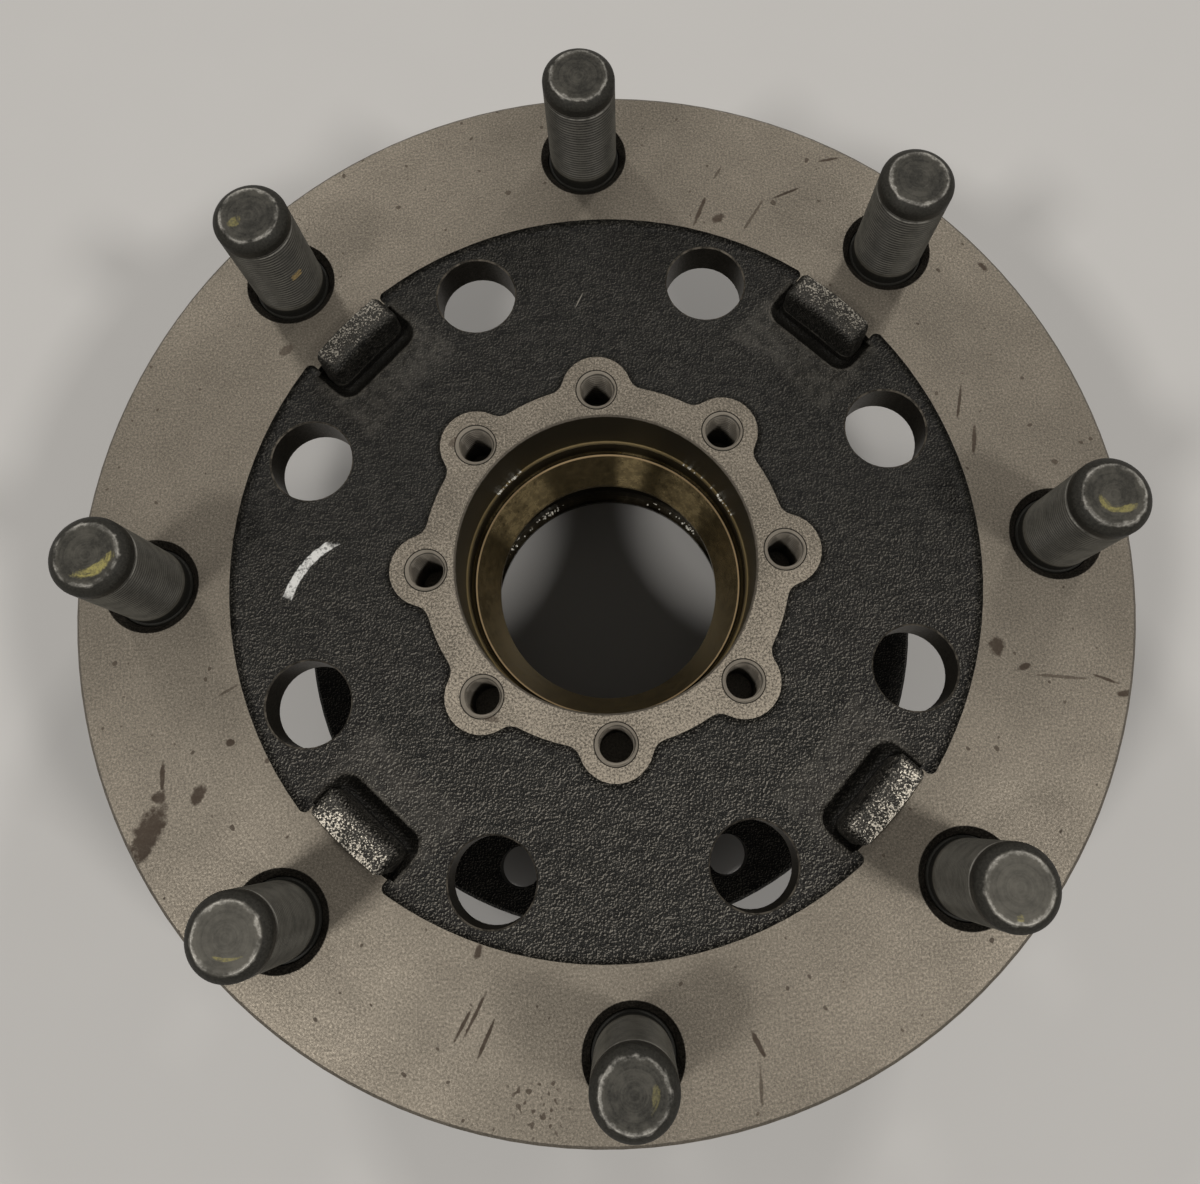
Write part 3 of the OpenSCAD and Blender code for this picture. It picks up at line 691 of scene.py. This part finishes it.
def new_piece(name, mesh, material):
    """Links a finished mesh as a piece of the hub."""
    piece = bpy.data.objects.new(name, mesh)
    bpy.context.scene.collection.objects.link(piece)
    mesh.materials.clear()
    mesh.materials.append(material)
    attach(piece, "root")
    return piece


def shade_by_angle(mesh, degrees):
    mesh.polygons.foreach_set("use_smooth", [True] * len(mesh.polygons))
    mesh.set_sharp_from_angle(angle=math.radians(degrees))


def new_geometry(name, inputs):
    """A geometry node tree with named inputs and one mesh output."""
    tree = bpy.data.node_groups.new(name, "GeometryNodeTree")
    for label, (socket, value) in inputs.items():
        made = tree.interface.new_socket(name=label, in_out="INPUT", socket_type="NodeSocket" + socket)
        if value is not None:
            made.default_value = value
    tree.interface.new_socket(name="Mesh", in_out="OUTPUT", socket_type="NodeSocketGeometry")
    s = Sheet(tree)
    entry = s.node("NodeGroupInput")
    given = {socket.name: Term(s, socket) for socket in entry.outputs if socket.name}
    return tree, s, given


def end_geometry(s, mesh, material):
    """Realises, gives the material and puts the mesh out."""
    real = s.node("GeometryNodeRealizeInstances")
    s.feed(real.inputs[0], mesh)
    painted = s.node("GeometryNodeSetMaterial")
    s.tree.links.new(real.outputs[0], painted.inputs["Geometry"])
    s.feed(painted.inputs["Material"], material)
    out = s.node("NodeGroupOutput")
    s.tree.links.new(painted.outputs[0], out.inputs["Mesh"])


def grown_mesh(name, tree, values):
    """The plain mesh that a geometry node tree makes with these values."""
    carrier = bpy.data.objects.new(name + "_carrier", bpy.data.meshes.new(name + "_carrier"))
    modifier = carrier.modifiers.new("Geometry", "NODES")
    modifier.node_group = tree
    for item in tree.interface.items_tree:
        if item.in_out == "INPUT" and item.name in values:
            modifier[item.identifier] = values[item.name]
    bpy.context.scene.collection.objects.link(carrier)
    graph = bpy.context.evaluated_depsgraph_get()
    graph.update()
    mesh = bpy.data.meshes.new_from_object(carrier.evaluated_get(graph), depsgraph=graph)
    mesh.name = name
    bpy.data.objects.remove(carrier)
    if not mesh.polygons:
        raise RuntimeError(name + " came out empty")
    return mesh


def wrapped_grid(s, columns, rows):
    """A grid to be wrapped round an axis: its mesh, the angle and the row number of each point."""
    grid = s.node("GeometryNodeMeshGrid")
    grid.inputs["Size X"].default_value = 1.0
    grid.inputs["Size Y"].default_value = 1.0
    s.feed(grid.inputs["Vertices X"], columns + 1)
    s.feed(grid.inputs["Vertices Y"], rows + 1)
    position = s.node("GeometryNodeInputPosition")
    x, y, _ = s.split(Term(s, position.outputs[0]))
    angle = (x + 0.5) * (2 * math.pi)
    row = s.math("ROUND", (y + 0.5) * rows)
    return Term(s, grid.outputs[0]), angle, row


def along_profile(s, row, stops):
    """Radius and height at a row, straight between stops of (row, radius, height)."""
    radius = stops[0][1]
    height = stops[0][2]
    for (row_a, r_a, z_a), (row_b, r_b, z_b) in zip(stops, stops[1:]):
        share = s.ramp(row, row_a, row_b)
        radius = radius + share * (r_b - r_a)
        height = height + share * (z_b - z_a)
    return radius, height


def set_place(s, mesh, position):
    made = s.node("GeometryNodeSetPosition")
    s.feed(made.inputs["Geometry"], mesh)
    s.feed(made.inputs["Position"], position)
    return Term(s, made.outputs[0])


def welded(s, mesh, distance):
    made = s.node("GeometryNodeMergeByDistance")
    s.feed(made.inputs["Geometry"], mesh)
    made.inputs["Distance"].default_value = distance
    return Term(s, made.outputs[0])


def moved(s, mesh, shift=None, turn=None):
    made = s.node("GeometryNodeTransform")
    s.feed(made.inputs["Geometry"], mesh)
    if shift is not None:
        s.feed(made.inputs["Translation"], shift)
    if turn is not None:
        s.feed(made.inputs["Rotation"], turn)
    return Term(s, made.outputs[0])


def stud_tree(material):
    """One wheel stud with its helical thread, serrations and head, turned to its place."""
    rows_per_turn = 8
    threaded = 26
    columns = 72
    serrations = 36
    serration_depth = 0.5
    thread_start = 5.6
    thread_rows = rows_per_turn * threaded
    tree, s, given = new_geometry(
        "Wheel stud",
        {
            "Turn": ("Float", 0.0),
            "Circle": ("Float", STUD_CIRCLE),
            "Thread radius": ("Float", 11.0),
            "Pitch": ("Float", 1.5),
            "Depth": ("Float", 0.9),
            "Top": ("Float", 47.8),
            "End radius": ("Float", 8.6),
            "Crest radius": ("Float", 11.98),
            "Head radius": ("Float", 16.0),
        },
    )
    top = given["Top"]
    end_r = given["End radius"]
    thread_r = given["Thread radius"]
    crest_r = given["Crest radius"]
    head_r = given["Head radius"]
    thread_top = top - thread_start
    thread_end = thread_top - given["Pitch"] * threaded
    stops = [
        (0, 0.0, top),
        (1, 3.0, top),
        (2, end_r - 0.1, top),
        (3, end_r, top),
        (4, end_r + 0.4, top - 0.24),
        (5, end_r + 1.15, top - 0.85),
        (6, end_r + 1.8, top - 1.55),
        (7, thread_r - 0.1, top - 2.25),
        (8, thread_r, top - 2.9),
        (9, thread_r, thread_top),
    ]
    at = 9 + thread_rows
    stops += [
        (at, thread_r, thread_end),
        (at + 1, thread_r, thread_end - 0.5),
        (at + 2, thread_r, -1.85),
        (at + 3, crest_r - 0.5, -1.86),
        (at + 4, crest_r, -2.4),
        (at + 5, crest_r, -13.3),
        (at + 6, crest_r - 0.5, -13.8),
        (at + 7, crest_r - 0.5, -19.28),
        (at + 8, head_r, -19.32),
        (at + 9, head_r, -26.1),
        (at + 10, head_r - 1.2, -27.3),
        (at + 11, 0.0, -27.3),
    ]
    rows = at + 11
    grid, angle, row = wrapped_grid(s, columns, rows)
    radius, height = along_profile(s, row, stops)
    phase = s.math("FRACT", height / given["Pitch"] + angle / (2 * math.pi))
    ridge = s.ramp(s.math("ABSOLUTE", phase * 2.0 - 1.0), 0.14, 0.86)
    fade = s.ramp(height, thread_end + 0.2, thread_end + 2.4) * s.ramp(
        height, thread_top - 1.2, thread_top - 0.1, 1.0, 0.0
    )
    radius = radius - ridge * fade * given["Depth"]
    tooth = s.math("FRACT", angle * (serrations / (2 * math.pi)) + 0.25)
    notch = s.ramp(s.math("ABSOLUTE", tooth * 2.0 - 1.0), 0.3, 0.7)
    cut = s.band(height, -13.6, -2.1, 0.2)
    radius = radius - notch * cut * serration_depth
    place = s.around(radius, angle, height)
    body = set_place(s, grid, s.scale(place, MM))
    body = welded(s, body, WELD)
    turned_out = s.node("GeometryNodeFlipFaces")
    s.feed(turned_out.inputs["Mesh"], body)
    body = Term(s, turned_out.outputs[0])
    body = moved(s, body, shift=s.join(given["Circle"] * MM, 0.0, 0.0))
    body = moved(s, body, turn=s.join(0.0, 0.0, given["Turn"]))
    end_geometry(s, body, material)
    return tree


def cap_thread_tree(material):
    """Eight threaded sleeves, each a closed ring with its thread on the inside."""
    tree, s, given = new_geometry(
        "Cap hole threads",
        {
            "Circle": ("Float", CAP_CIRCLE),
            "Root radius": ("Float", 6.0),
            "Crest radius": ("Float", 5.1),
            "Pitch": ("Float", 1.75),
            "Depth": ("Float", 29.6),
            "Mouth radius": ("Float", 6.3),
            "Outer radius": ("Float", 6.33),
        },
    )
    inner_rows = 136
    columns = 40
    rows = inner_rows + 2
    grid, angle, row = wrapped_grid(s, columns, rows)
    depth = s.ramp(row, 0.0, float(inner_rows)) * given["Depth"]
    phase = s.math("FRACT", depth / given["Pitch"] - angle / (2 * math.pi))
    ridge = s.ramp(s.math("ABSOLUTE", phase * 2.0 - 1.0), 0.1, 0.88)
    inner = given["Root radius"] - ridge * (given["Root radius"] - given["Crest radius"])
    inner = s.math("MAXIMUM", inner, given["Mouth radius"] - depth)
    back = s.ramp(row, float(inner_rows), float(inner_rows + 1))
    home = s.ramp(row, float(inner_rows + 1), float(inner_rows + 2))
    radius = s.blend(back, inner, given["Outer radius"])
    radius = s.blend(home, radius, given["Mouth radius"])
    height = -(depth * (1.0 - home)) - 0.02
    place = s.around(radius, angle, height)
    sleeve = set_place(s, grid, s.scale(place, MM))
    sleeve = welded(s, sleeve, WELD)
    ring = s.node("GeometryNodeMeshCircle")
    ring.inputs["Vertices"].default_value = EIGHT
    s.feed(ring.inputs["Radius"], given["Circle"] * MM)
    spread = s.node("GeometryNodeInstanceOnPoints")
    s.tree.links.new(ring.outputs[0], spread.inputs["Points"])
    s.feed(spread.inputs["Instance"], sleeve)
    end_geometry(s, Term(s, spread.outputs[0]), material)
    return tree


def grease_tree(material):
    """Beads of grease on the ledge above the inner cup."""
    tree, s, given = new_geometry(
        "Grease beads",
        {
            "Count": ("Int", 90),
            "Seed": ("Int", 4),
            "Inner radius": ("Float", 43.0),
            "Outer radius": ("Float", 45.5),
            "Height": ("Float", -98.0),
            "From": ("Float", 0.0),
            "To": ("Float", 1.0),
            "Smallest": ("Float", 0.2),
            "Largest": ("Float", 0.55),
        },
    )
    points = s.node("GeometryNodePoints")
    s.feed(points.inputs["Count"], given["Count"])

    def dice(low, high, offset):
        made = s.node("FunctionNodeRandomValue", data_type="FLOAT")
        s.feed(made.inputs[2], low)
        s.feed(made.inputs[3], high)
        s.feed(made.inputs["Seed"], given["Seed"] + offset)
        return Term(s, made.outputs[1])

    angle = dice(given["From"], given["To"], 2.0)
    radius = dice(given["Inner radius"], given["Outer radius"], 3.0)
    height = given["Height"]
    place = s.around(radius, angle, height)
    placed = set_place(s, Term(s, points.outputs[0]), s.scale(place, MM))
    bead = s.node("GeometryNodeMeshIcoSphere")
    bead.inputs["Radius"].default_value = MM
    bead.inputs["Subdivisions"].default_value = 2
    spread = s.node("GeometryNodeInstanceOnPoints")
    s.feed(spread.inputs["Points"], placed)
    s.tree.links.new(bead.outputs[0], spread.inputs["Instance"])
    size = dice(given["Smallest"], given["Largest"], 4.0)
    s.feed(spread.inputs["Scale"], s.join(size, size, size * 0.8))
    end_geometry(s, Term(s, spread.outputs[0]), material)
    return tree


def merged_copy(node, name):
    """A copy of a CAD node's mesh with its loose triangles joined."""
    bm = bmesh.new()
    bm.from_mesh(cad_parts[node].data)
    bmesh.ops.remove_doubles(bm, verts=bm.verts, dist=CAD_WELD)
    mesh = bpy.data.meshes.new(name)
    bm.to_mesh(mesh)
    bm.free()
    if "custom_normal" in mesh.attributes:
        mesh.attributes.remove(mesh.attributes["custom_normal"])
    return mesh


def widen_cap_holes(mesh, drill_r, wall_r):
    """Moves the eight small holes' walls out, to make room for their threads."""
    centres = [round_place(CAP_CIRCLE * MM, k * PITCH) for k in range(EIGHT)]
    count = 0
    for vertex in mesh.vertices:
        for cx, cy in centres:
            dx, dy = vertex.co.x - cx, vertex.co.y - cy
            r = math.hypot(dx, dy)
            if drill_r - 0.2 * MM < r < drill_r + 0.2 * MM and vertex.co.z < -0.5 * MM:
                vertex.co.x = cx + dx * wall_r / r
                vertex.co.y = cy + dy * wall_r / r
                count += 1
    return count


# Settings


def colour_property(name, description, default):
    return FloatVectorProperty(
        name=name, description=description, default=default, size=3, subtype="COLOR", min=0.0, max=1.0
    )


def length_property(name, description, default):
    """A short length, with its default in millimetres."""
    return FloatProperty(
        name=name, description=description, default=default * MM, unit="LENGTH", precision=4
    )


class HubCastingLook(bpy.types.PropertyGroup):
    """Finish of the casting."""

    cast_colour: colour_property("Cast skin", "Black coat on the raised grain", (0.0215, 0.0203, 0.0172))
    # Near-black painted shade: in the grain's pits and shaded slopes, the bore's seat and cavity and the stud
    # holes' mouths; also the dark line round the cap holes
    pit_and_shade_black: colour_property("Pits", "Black coat in the pits", (0.005, 0.0047, 0.004))
    # Painted glints on the cast grain and a painted highlight on the pocket rims; also the colour of the bright
    # nick
    glint_and_nick_colour: colour_property("Specks", "Bright specks in the coat", (0.2, 0.183, 0.155))
    fleck_colour: colour_property("Flecks", "Rubbed flecks on the lugs", (0.66, 0.6, 0.5))
    worn_skin: colour_property("Worn skin", "Worn coat on the lugs' tops", (0.05, 0.0465, 0.039))
    dark_steel: colour_property("Dark machined", "Darker grain of machined faces", (0.1, 0.087, 0.069))
    pale_steel: colour_property("Pale machined", "Paler grain of machined faces", (0.23, 0.2, 0.16))
    # Painted glints on the machined faces' grain
    sparkle_colour: colour_property("Sparkle", "Bright grains of machined faces", (0.42, 0.365, 0.29))
    # Wall colours are painted shade, darker than the faces; Dark wall also darkens the boss's ragged edge
    dark_wall: colour_property("Dark wall", "Darker grain of drilled walls", (0.025, 0.022, 0.018))
    pale_wall: colour_property("Pale wall", "Paler grain of drilled walls", (0.085, 0.076, 0.062))
    # Oily walls of the bore, painted darker as painted shade
    bore_steel: colour_property("Bore", "Oily walls of the bore", (0.058, 0.048, 0.029))
    # Painted highlight on the oily edge of the bore's step
    step_edge_highlight: colour_property("Step", "Oily edge of the bore's step", (0.42, 0.32, 0.16))
    # Near-black painted shade down in the pockets round the lugs
    shade_colour: colour_property("Pockets", "Soot in the pockets round the lugs", (0.0065, 0.006, 0.005))
    stain_colour: colour_property("Stain", "Brown stains on machined faces", (0.042, 0.029, 0.02))
    pen_colour: colour_property("Pen stroke", "White paint-pen stroke", (0.62, 0.61, 0.58))
    smooth_angle: FloatProperty(
        name="Smooth angle",
        description="Edges sharper than this stay sharp",
        default=math.radians(32),
        subtype="ANGLE",
    )


class HubStudSettings(bpy.types.PropertyGroup):
    """Thread and finish of the wheel studs."""

    pitch: length_property("Pitch", "Thread pitch", 1.5)
    depth: length_property("Depth", "Thread depth", 0.9)
    dark_colour: colour_property("Dark", "Phosphate in the shade of the grain", (0.013, 0.0122, 0.0098))
    pale_colour: colour_property("Pale", "Phosphate on the grain", (0.037, 0.0345, 0.0285))
    # Rubbed crests, also a painted highlight; the ends of the lower studs get it as painted light
    crest_colour: colour_property("Crests", "Rubbed thread crests", (0.11, 0.102, 0.084))
    foot_colour: colour_property("Foot", "Shaded foot of a stud", (0.006, 0.006, 0.005))
    worn_colour: colour_property("Worn", "Bare metal at the rim", (0.4, 0.38, 0.34))
    dab_colour: colour_property("Dabs", "Dabs of yellow paint", (0.27, 0.235, 0.08))
    primer_colour: colour_property("Primer", "Dab of orange primer on a shank", (0.34, 0.24, 0.1))


class HubThreadSettings(bpy.types.PropertyGroup):
    """Threads of the eight cap holes."""

    pitch: length_property("Pitch", "Thread pitch", 1.75)
    wall_r: length_property("Wall radius", "Radius behind the thread", 6.3)
    # Dark is painted shade in the roots, Pale is painted glints on the crests and the mouth
    dark_colour: colour_property("Dark", "Thread roots", (0.02, 0.018, 0.014))
    pale_colour: colour_property("Pale", "Cut crests and the mouth", (0.34, 0.3, 0.245))


class HubCupLook(bpy.types.PropertyGroup):
    """Finish of the bearing cups."""

    steel_colour: colour_property("Steel", "Ground steel", (0.36, 0.27, 0.13))
    oil_colour: colour_property("Oil", "Steel under thick oil", (0.08, 0.056, 0.023))
    pale_colour: colour_property("Pale", "Lighter grinding marks", (0.46, 0.37, 0.21))
    # Painted highlights on the race
    race_highlight_colour: colour_property("Thin oil", "Steel where the oil is thin", (0.4, 0.305, 0.15))
    # Painted highlight on the front edge of a cup
    edge_highlight_colour: colour_property("Edge", "Rubbed front edge of a cup", (0.5, 0.36, 0.2))
    # Near-black for dark flecks on the race, the painted shade on the outer cup's front face, and the cups below
    # z -60
    deep_colour: colour_property("Deep", "Black oil on the inner cup", (0.012, 0.01, 0.007))


class HubGreaseSettings(bpy.types.PropertyGroup):
    """Beads of grease in the bore."""

    share: FloatProperty(
        name="Beads", description="Share of the usual number of beads", default=1.0, min=0.1, max=4.0
    )
    seed: IntProperty(name="Seed", description="Changes the beads' places", default=4)
    dark_colour: colour_property("Dark", "Thick grease", (0.1, 0.08, 0.045))
    # Painted glints on the beads
    pale_colour: colour_property("Pale", "Grease that catches the light", (0.95, 0.91, 0.8))


class HubStageSettings(bpy.types.PropertyGroup):
    """Floor, lamps and camera."""

    floor_colour: colour_property("Floor", "Colour of the plain floor", (0.53, 0.515, 0.495))
    lamp_power: FloatProperty(
        name="Lamp power", description="Power of each lamp in watts", default=8.9, min=0.0
    )
    lamp_size: FloatProperty(
        name="Lamp size", description="Side of each square lamp", default=0.2, unit="LENGTH"
    )
    sky: FloatProperty(name="Sky", description="Strength of the light from all round", default=0.18, min=0.0)
    lens: FloatProperty(name="Lens", description="Focal length in millimetres", default=37.105)


# Operators


MAKERS = {
    "Nearest on a circle": make_nearest,
    "Cast grain": make_cast_grain,
    "Turned grain": make_turned_grain,
    "Smear": make_smear,
}


def shared(*names):
    """Node groups by name, each made the first time that it is asked for."""
    return [bpy.data.node_groups.get(name) or MAKERS[name]() for name in names]


class HUB_OT_casting(bpy.types.Operator):
    """Dress the casting in its cast skin and machined faces"""

    bl_idname = "wheel_hub.casting"
    bl_label = "Casting"

    def execute(self, context):
        look = context.scene.hub_casting_look
        threads = context.scene.hub_thread_settings
        mesh = merged_copy("hub_casting", "dressed_casting")
        if not widen_cap_holes(mesh, 5.1 * MM, threads.wall_r):
            raise RuntimeError("no cap hole was found in the casting")
        shade_by_angle(mesh, math.degrees(look.smooth_angle))
        material = casting_material(look, *shared(*MAKERS))
        piece = new_piece("dressed_casting", mesh, material)
        piece.modifiers.new("Weighted normals", "WEIGHTED_NORMAL").keep_sharp = True
        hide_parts("hub_casting")
        return {"FINISHED"}


class HUB_OT_studs(bpy.types.Operator):
    """Make the eight threaded wheel studs"""

    bl_idname = "wheel_hub.studs"
    bl_label = "Wheel studs"

    def execute(self, context):
        look = context.scene.hub_stud_settings
        material = stud_material(look, *shared("Nearest on a circle", "Turned grain", "Smear"))
        tree = stud_tree(material)
        for k in range(EIGHT):
            name = f"threaded_stud_{k + 1}"
            values = {
                "Turn": math.radians(k * PITCH),
                "Pitch": look.pitch / MM,
                "Depth": look.depth / MM,
            }
            mesh = grown_mesh(name, tree, values)
            shade_by_angle(mesh, 28)
            piece = new_piece(name, mesh, material)
            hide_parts(f"wheel_stud_{k + 1}")
        return {"FINISHED"}


class HUB_OT_cap_threads(bpy.types.Operator):
    """Cut the threads of the eight small holes"""

    bl_idname = "wheel_hub.cap_threads"
    bl_label = "Cap hole threads"

    def execute(self, context):
        look = context.scene.hub_thread_settings
        material = thread_material(look, *shared("Nearest on a circle", "Turned grain"))
        values = {"Pitch": look.pitch / MM}
        mesh = grown_mesh("cap_hole_threads", cap_thread_tree(material), values)
        shade_by_angle(mesh, 40)
        new_piece("cap_hole_threads", mesh, material)
        return {"FINISHED"}


class HUB_OT_cups(bpy.types.Operator):
    """Give the bearing cups their oiled steel"""

    bl_idname = "wheel_hub.cups"
    bl_label = "Bearing cups"

    def execute(self, context):
        look = context.scene.hub_cup_look
        material = cup_material(look, *shared("Turned grain"))
        for name in ("outer_bearing_cup", "inner_bearing_cup"):
            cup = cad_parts[name]
            cup.data.materials.clear()
            cup.data.materials.append(material)
        return {"FINISHED"}


# Inner radius, outer radius and height of the ledges that hold grease: the inner cup's front and the bore's step
LEDGES = {"deep": (43.5, 46.0, -98.0), "step": (45.2, 45.6, -27.2)}
# Beads of grease, judged one by one: ledge, side, count, first and last direction in degrees
BEADS = (
    ("deep", "left", 45, 105, 145),
    ("deep", "right", 30, 30, 70),
    ("step", "left", 25, 125, 140),
    ("step", "right", 15, 20, 55),
)


class HUB_OT_grease(bpy.types.Operator):
    """Bead the grease in the bore"""

    bl_idname = "wheel_hub.grease"
    bl_label = "Grease"

    def execute(self, context):
        look = context.scene.hub_grease_settings
        material = grease_material(look)
        tree = grease_tree(material)
        for ledge, side, count, first, last in BEADS:
            name = f"grease_{ledge}_{side}"
            inner, outer, height = LEDGES[ledge]
            values = {
                "Count": round(look.share * count),
                "Seed": look.seed,
                "Inner radius": inner,
                "Outer radius": outer,
                "Height": height,
                "From": math.radians(first),
                "To": math.radians(last),
            }
            mesh = grown_mesh(name, tree, values)
            shade_by_angle(mesh, 180)
            new_piece(name, mesh, material)
        return {"FINISHED"}


class HUB_OT_stage(bpy.types.Operator):
    """Set the floor, the lamps, the world and the camera"""

    bl_idname = "wheel_hub.stage"
    bl_label = "Stage"

    def execute(self, context):
        settings = context.scene.hub_stage_settings
        make_floor(settings)
        make_lamps(settings)
        make_world(context.scene, settings)
        make_camera(context.scene, settings)
        context.scene.view_settings.view_transform = "Standard"
        return {"FINISHED"}


def make_floor(settings):
    size = 3.0
    mesh = bpy.data.meshes.new("floor")
    corners = [(-size, -size), (size, -size), (size, size), (-size, size)]
    mesh.from_pydata([(x, y, FLOOR_Z) for x, y in corners], [], [(0, 1, 2, 3)])
    floor = bpy.data.objects.new("floor", mesh)
    bpy.context.scene.collection.objects.link(floor)
    material, s, shader = new_material("Floor")
    place = object_place(s)
    cloud = s.noise(place, 0.02, 2.0, 0.5)
    dark = [0.97 * c for c in settings.floor_colour]
    s.feed(shader.inputs["Base Color"], s.mix(cloud, dark, settings.floor_colour))
    shader.inputs["Roughness"].default_value = 0.6
    shader.inputs["Specular IOR Level"].default_value = 0.2
    mesh.materials.append(material)


# The four lamps hang on a plain grid, in metres: columns by x, rows by y with their share of the lamp power
LAMP_HEIGHT = 1.4
LAMP_COLUMNS = {"left": -0.7, "right": 0.8}
LAMP_ROWS = {"upper": (1.2, 0.85), "lower": (-0.5, 1.15)}


def make_lamps(settings):
    for row, (y, share) in LAMP_ROWS.items():
        for column, x in LAMP_COLUMNS.items():
            name = f"lamp_{row}_{column}"
            data = bpy.data.lights.new(name, "AREA")
            data.shape = "SQUARE"
            data.size = settings.lamp_size
            data.energy = settings.lamp_power * share
            data.color = LAMP_COLOUR
            lamp = bpy.data.objects.new(name, data)
            lamp.location = (x, y, LAMP_HEIGHT)
            aim = -lamp.location
            lamp.rotation_euler = aim.to_track_quat("-Z", "Y").to_euler()
            bpy.context.scene.collection.objects.link(lamp)


def make_world(scene, settings):
    """A dim grey sky for light, and a pale one where it is seen or mirrored."""
    world = bpy.data.worlds.new("Studio")
    world.use_nodes = True
    world.node_tree.nodes.clear()
    s = Sheet(world.node_tree)
    path = s.node("ShaderNodeLightPath")
    camera_ray = Term(s, path.outputs["Is Camera Ray"])
    seen = s.math("MAXIMUM", camera_ray, Term(s, path.outputs["Is Transmission Ray"]))
    background = s.node("ShaderNodeBackground")
    background.inputs["Color"].default_value = (*LAMP_COLOUR, 1.0)
    glossy = s.math("MAXIMUM", seen, Term(s, path.outputs["Is Glossy Ray"]) * 0.2)
    s.feed(background.inputs["Strength"], s.blend(glossy, settings.sky, 0.85))
    out = s.node("ShaderNodeOutputWorld")
    s.tree.links.new(background.outputs[0], out.inputs[0])
    scene.world = world


# The camera fitted to the photograph: place in metres, turn in degrees, and shift as a share of the frame
CAMERA_PLACE = (0.00184, -0.07377, 0.37011)
CAMERA_TURN = (16.671, 0.226, -3.354)
CAMERA_SHIFT = (-0.01779, -0.12501)


def make_camera(scene, settings):
    data = bpy.data.cameras.new("camera")
    data.sensor_width = 36.0
    data.lens = settings.lens
    data.shift_x, data.shift_y = CAMERA_SHIFT
    camera = bpy.data.objects.new("camera", data)
    camera.location = CAMERA_PLACE
    camera.rotation_euler = [math.radians(a) for a in CAMERA_TURN]
    data.clip_start = 0.01
    data.clip_end = 20.0
    scene.collection.objects.link(camera)
    scene.camera = camera


class HUB_PT_panel(bpy.types.Panel):
    """Lists the hub's pieces in the sidebar"""

    bl_idname = "HUB_PT_panel"
    bl_label = "Wheel Hub"
    bl_space_type = "VIEW_3D"
    bl_region_type = "UI"
    bl_category = "Wheel Hub"

    def draw(self, context):
        scene = context.scene
        for operator, settings in STEPS:
            box = self.layout.box()
            box.operator(operator.bl_idname)
            group = getattr(scene, settings)
            for name in group.bl_rna.properties.keys():
                if name not in ("rna_type", "name"):
                    box.prop(group, name)


STEPS = (
    (HUB_OT_casting, "hub_casting_look"),
    (HUB_OT_studs, "hub_stud_settings"),
    (HUB_OT_cap_threads, "hub_thread_settings"),
    (HUB_OT_cups, "hub_cup_look"),
    (HUB_OT_grease, "hub_grease_settings"),
    (HUB_OT_stage, "hub_stage_settings"),
)
SETTINGS = {
    "hub_casting_look": HubCastingLook,
    "hub_stud_settings": HubStudSettings,
    "hub_thread_settings": HubThreadSettings,
    "hub_cup_look": HubCupLook,
    "hub_grease_settings": HubGreaseSettings,
    "hub_stage_settings": HubStageSettings,
}


def register():
    for name, group in SETTINGS.items():
        bpy.utils.register_class(group)
        setattr(bpy.types.Scene, name, PointerProperty(type=group))
    for operator, _ in STEPS:
        bpy.utils.register_class(operator)
    bpy.utils.register_class(HUB_PT_panel)


def unregister():
    bpy.utils.unregister_class(HUB_PT_panel)
    for operator, _ in reversed(STEPS):
        bpy.utils.unregister_class(operator)
    for name, group in reversed(SETTINGS.items()):
        delattr(bpy.types.Scene, name)
        bpy.utils.unregister_class(group)


def main():
    register()
    bpy.ops.wheel_hub.casting()
    bpy.ops.wheel_hub.studs()
    bpy.ops.wheel_hub.cap_threads()
    bpy.ops.wheel_hub.cups()
    bpy.ops.wheel_hub.grease()
    bpy.ops.wheel_hub.stage()


if __name__ == "__main__":
    main()
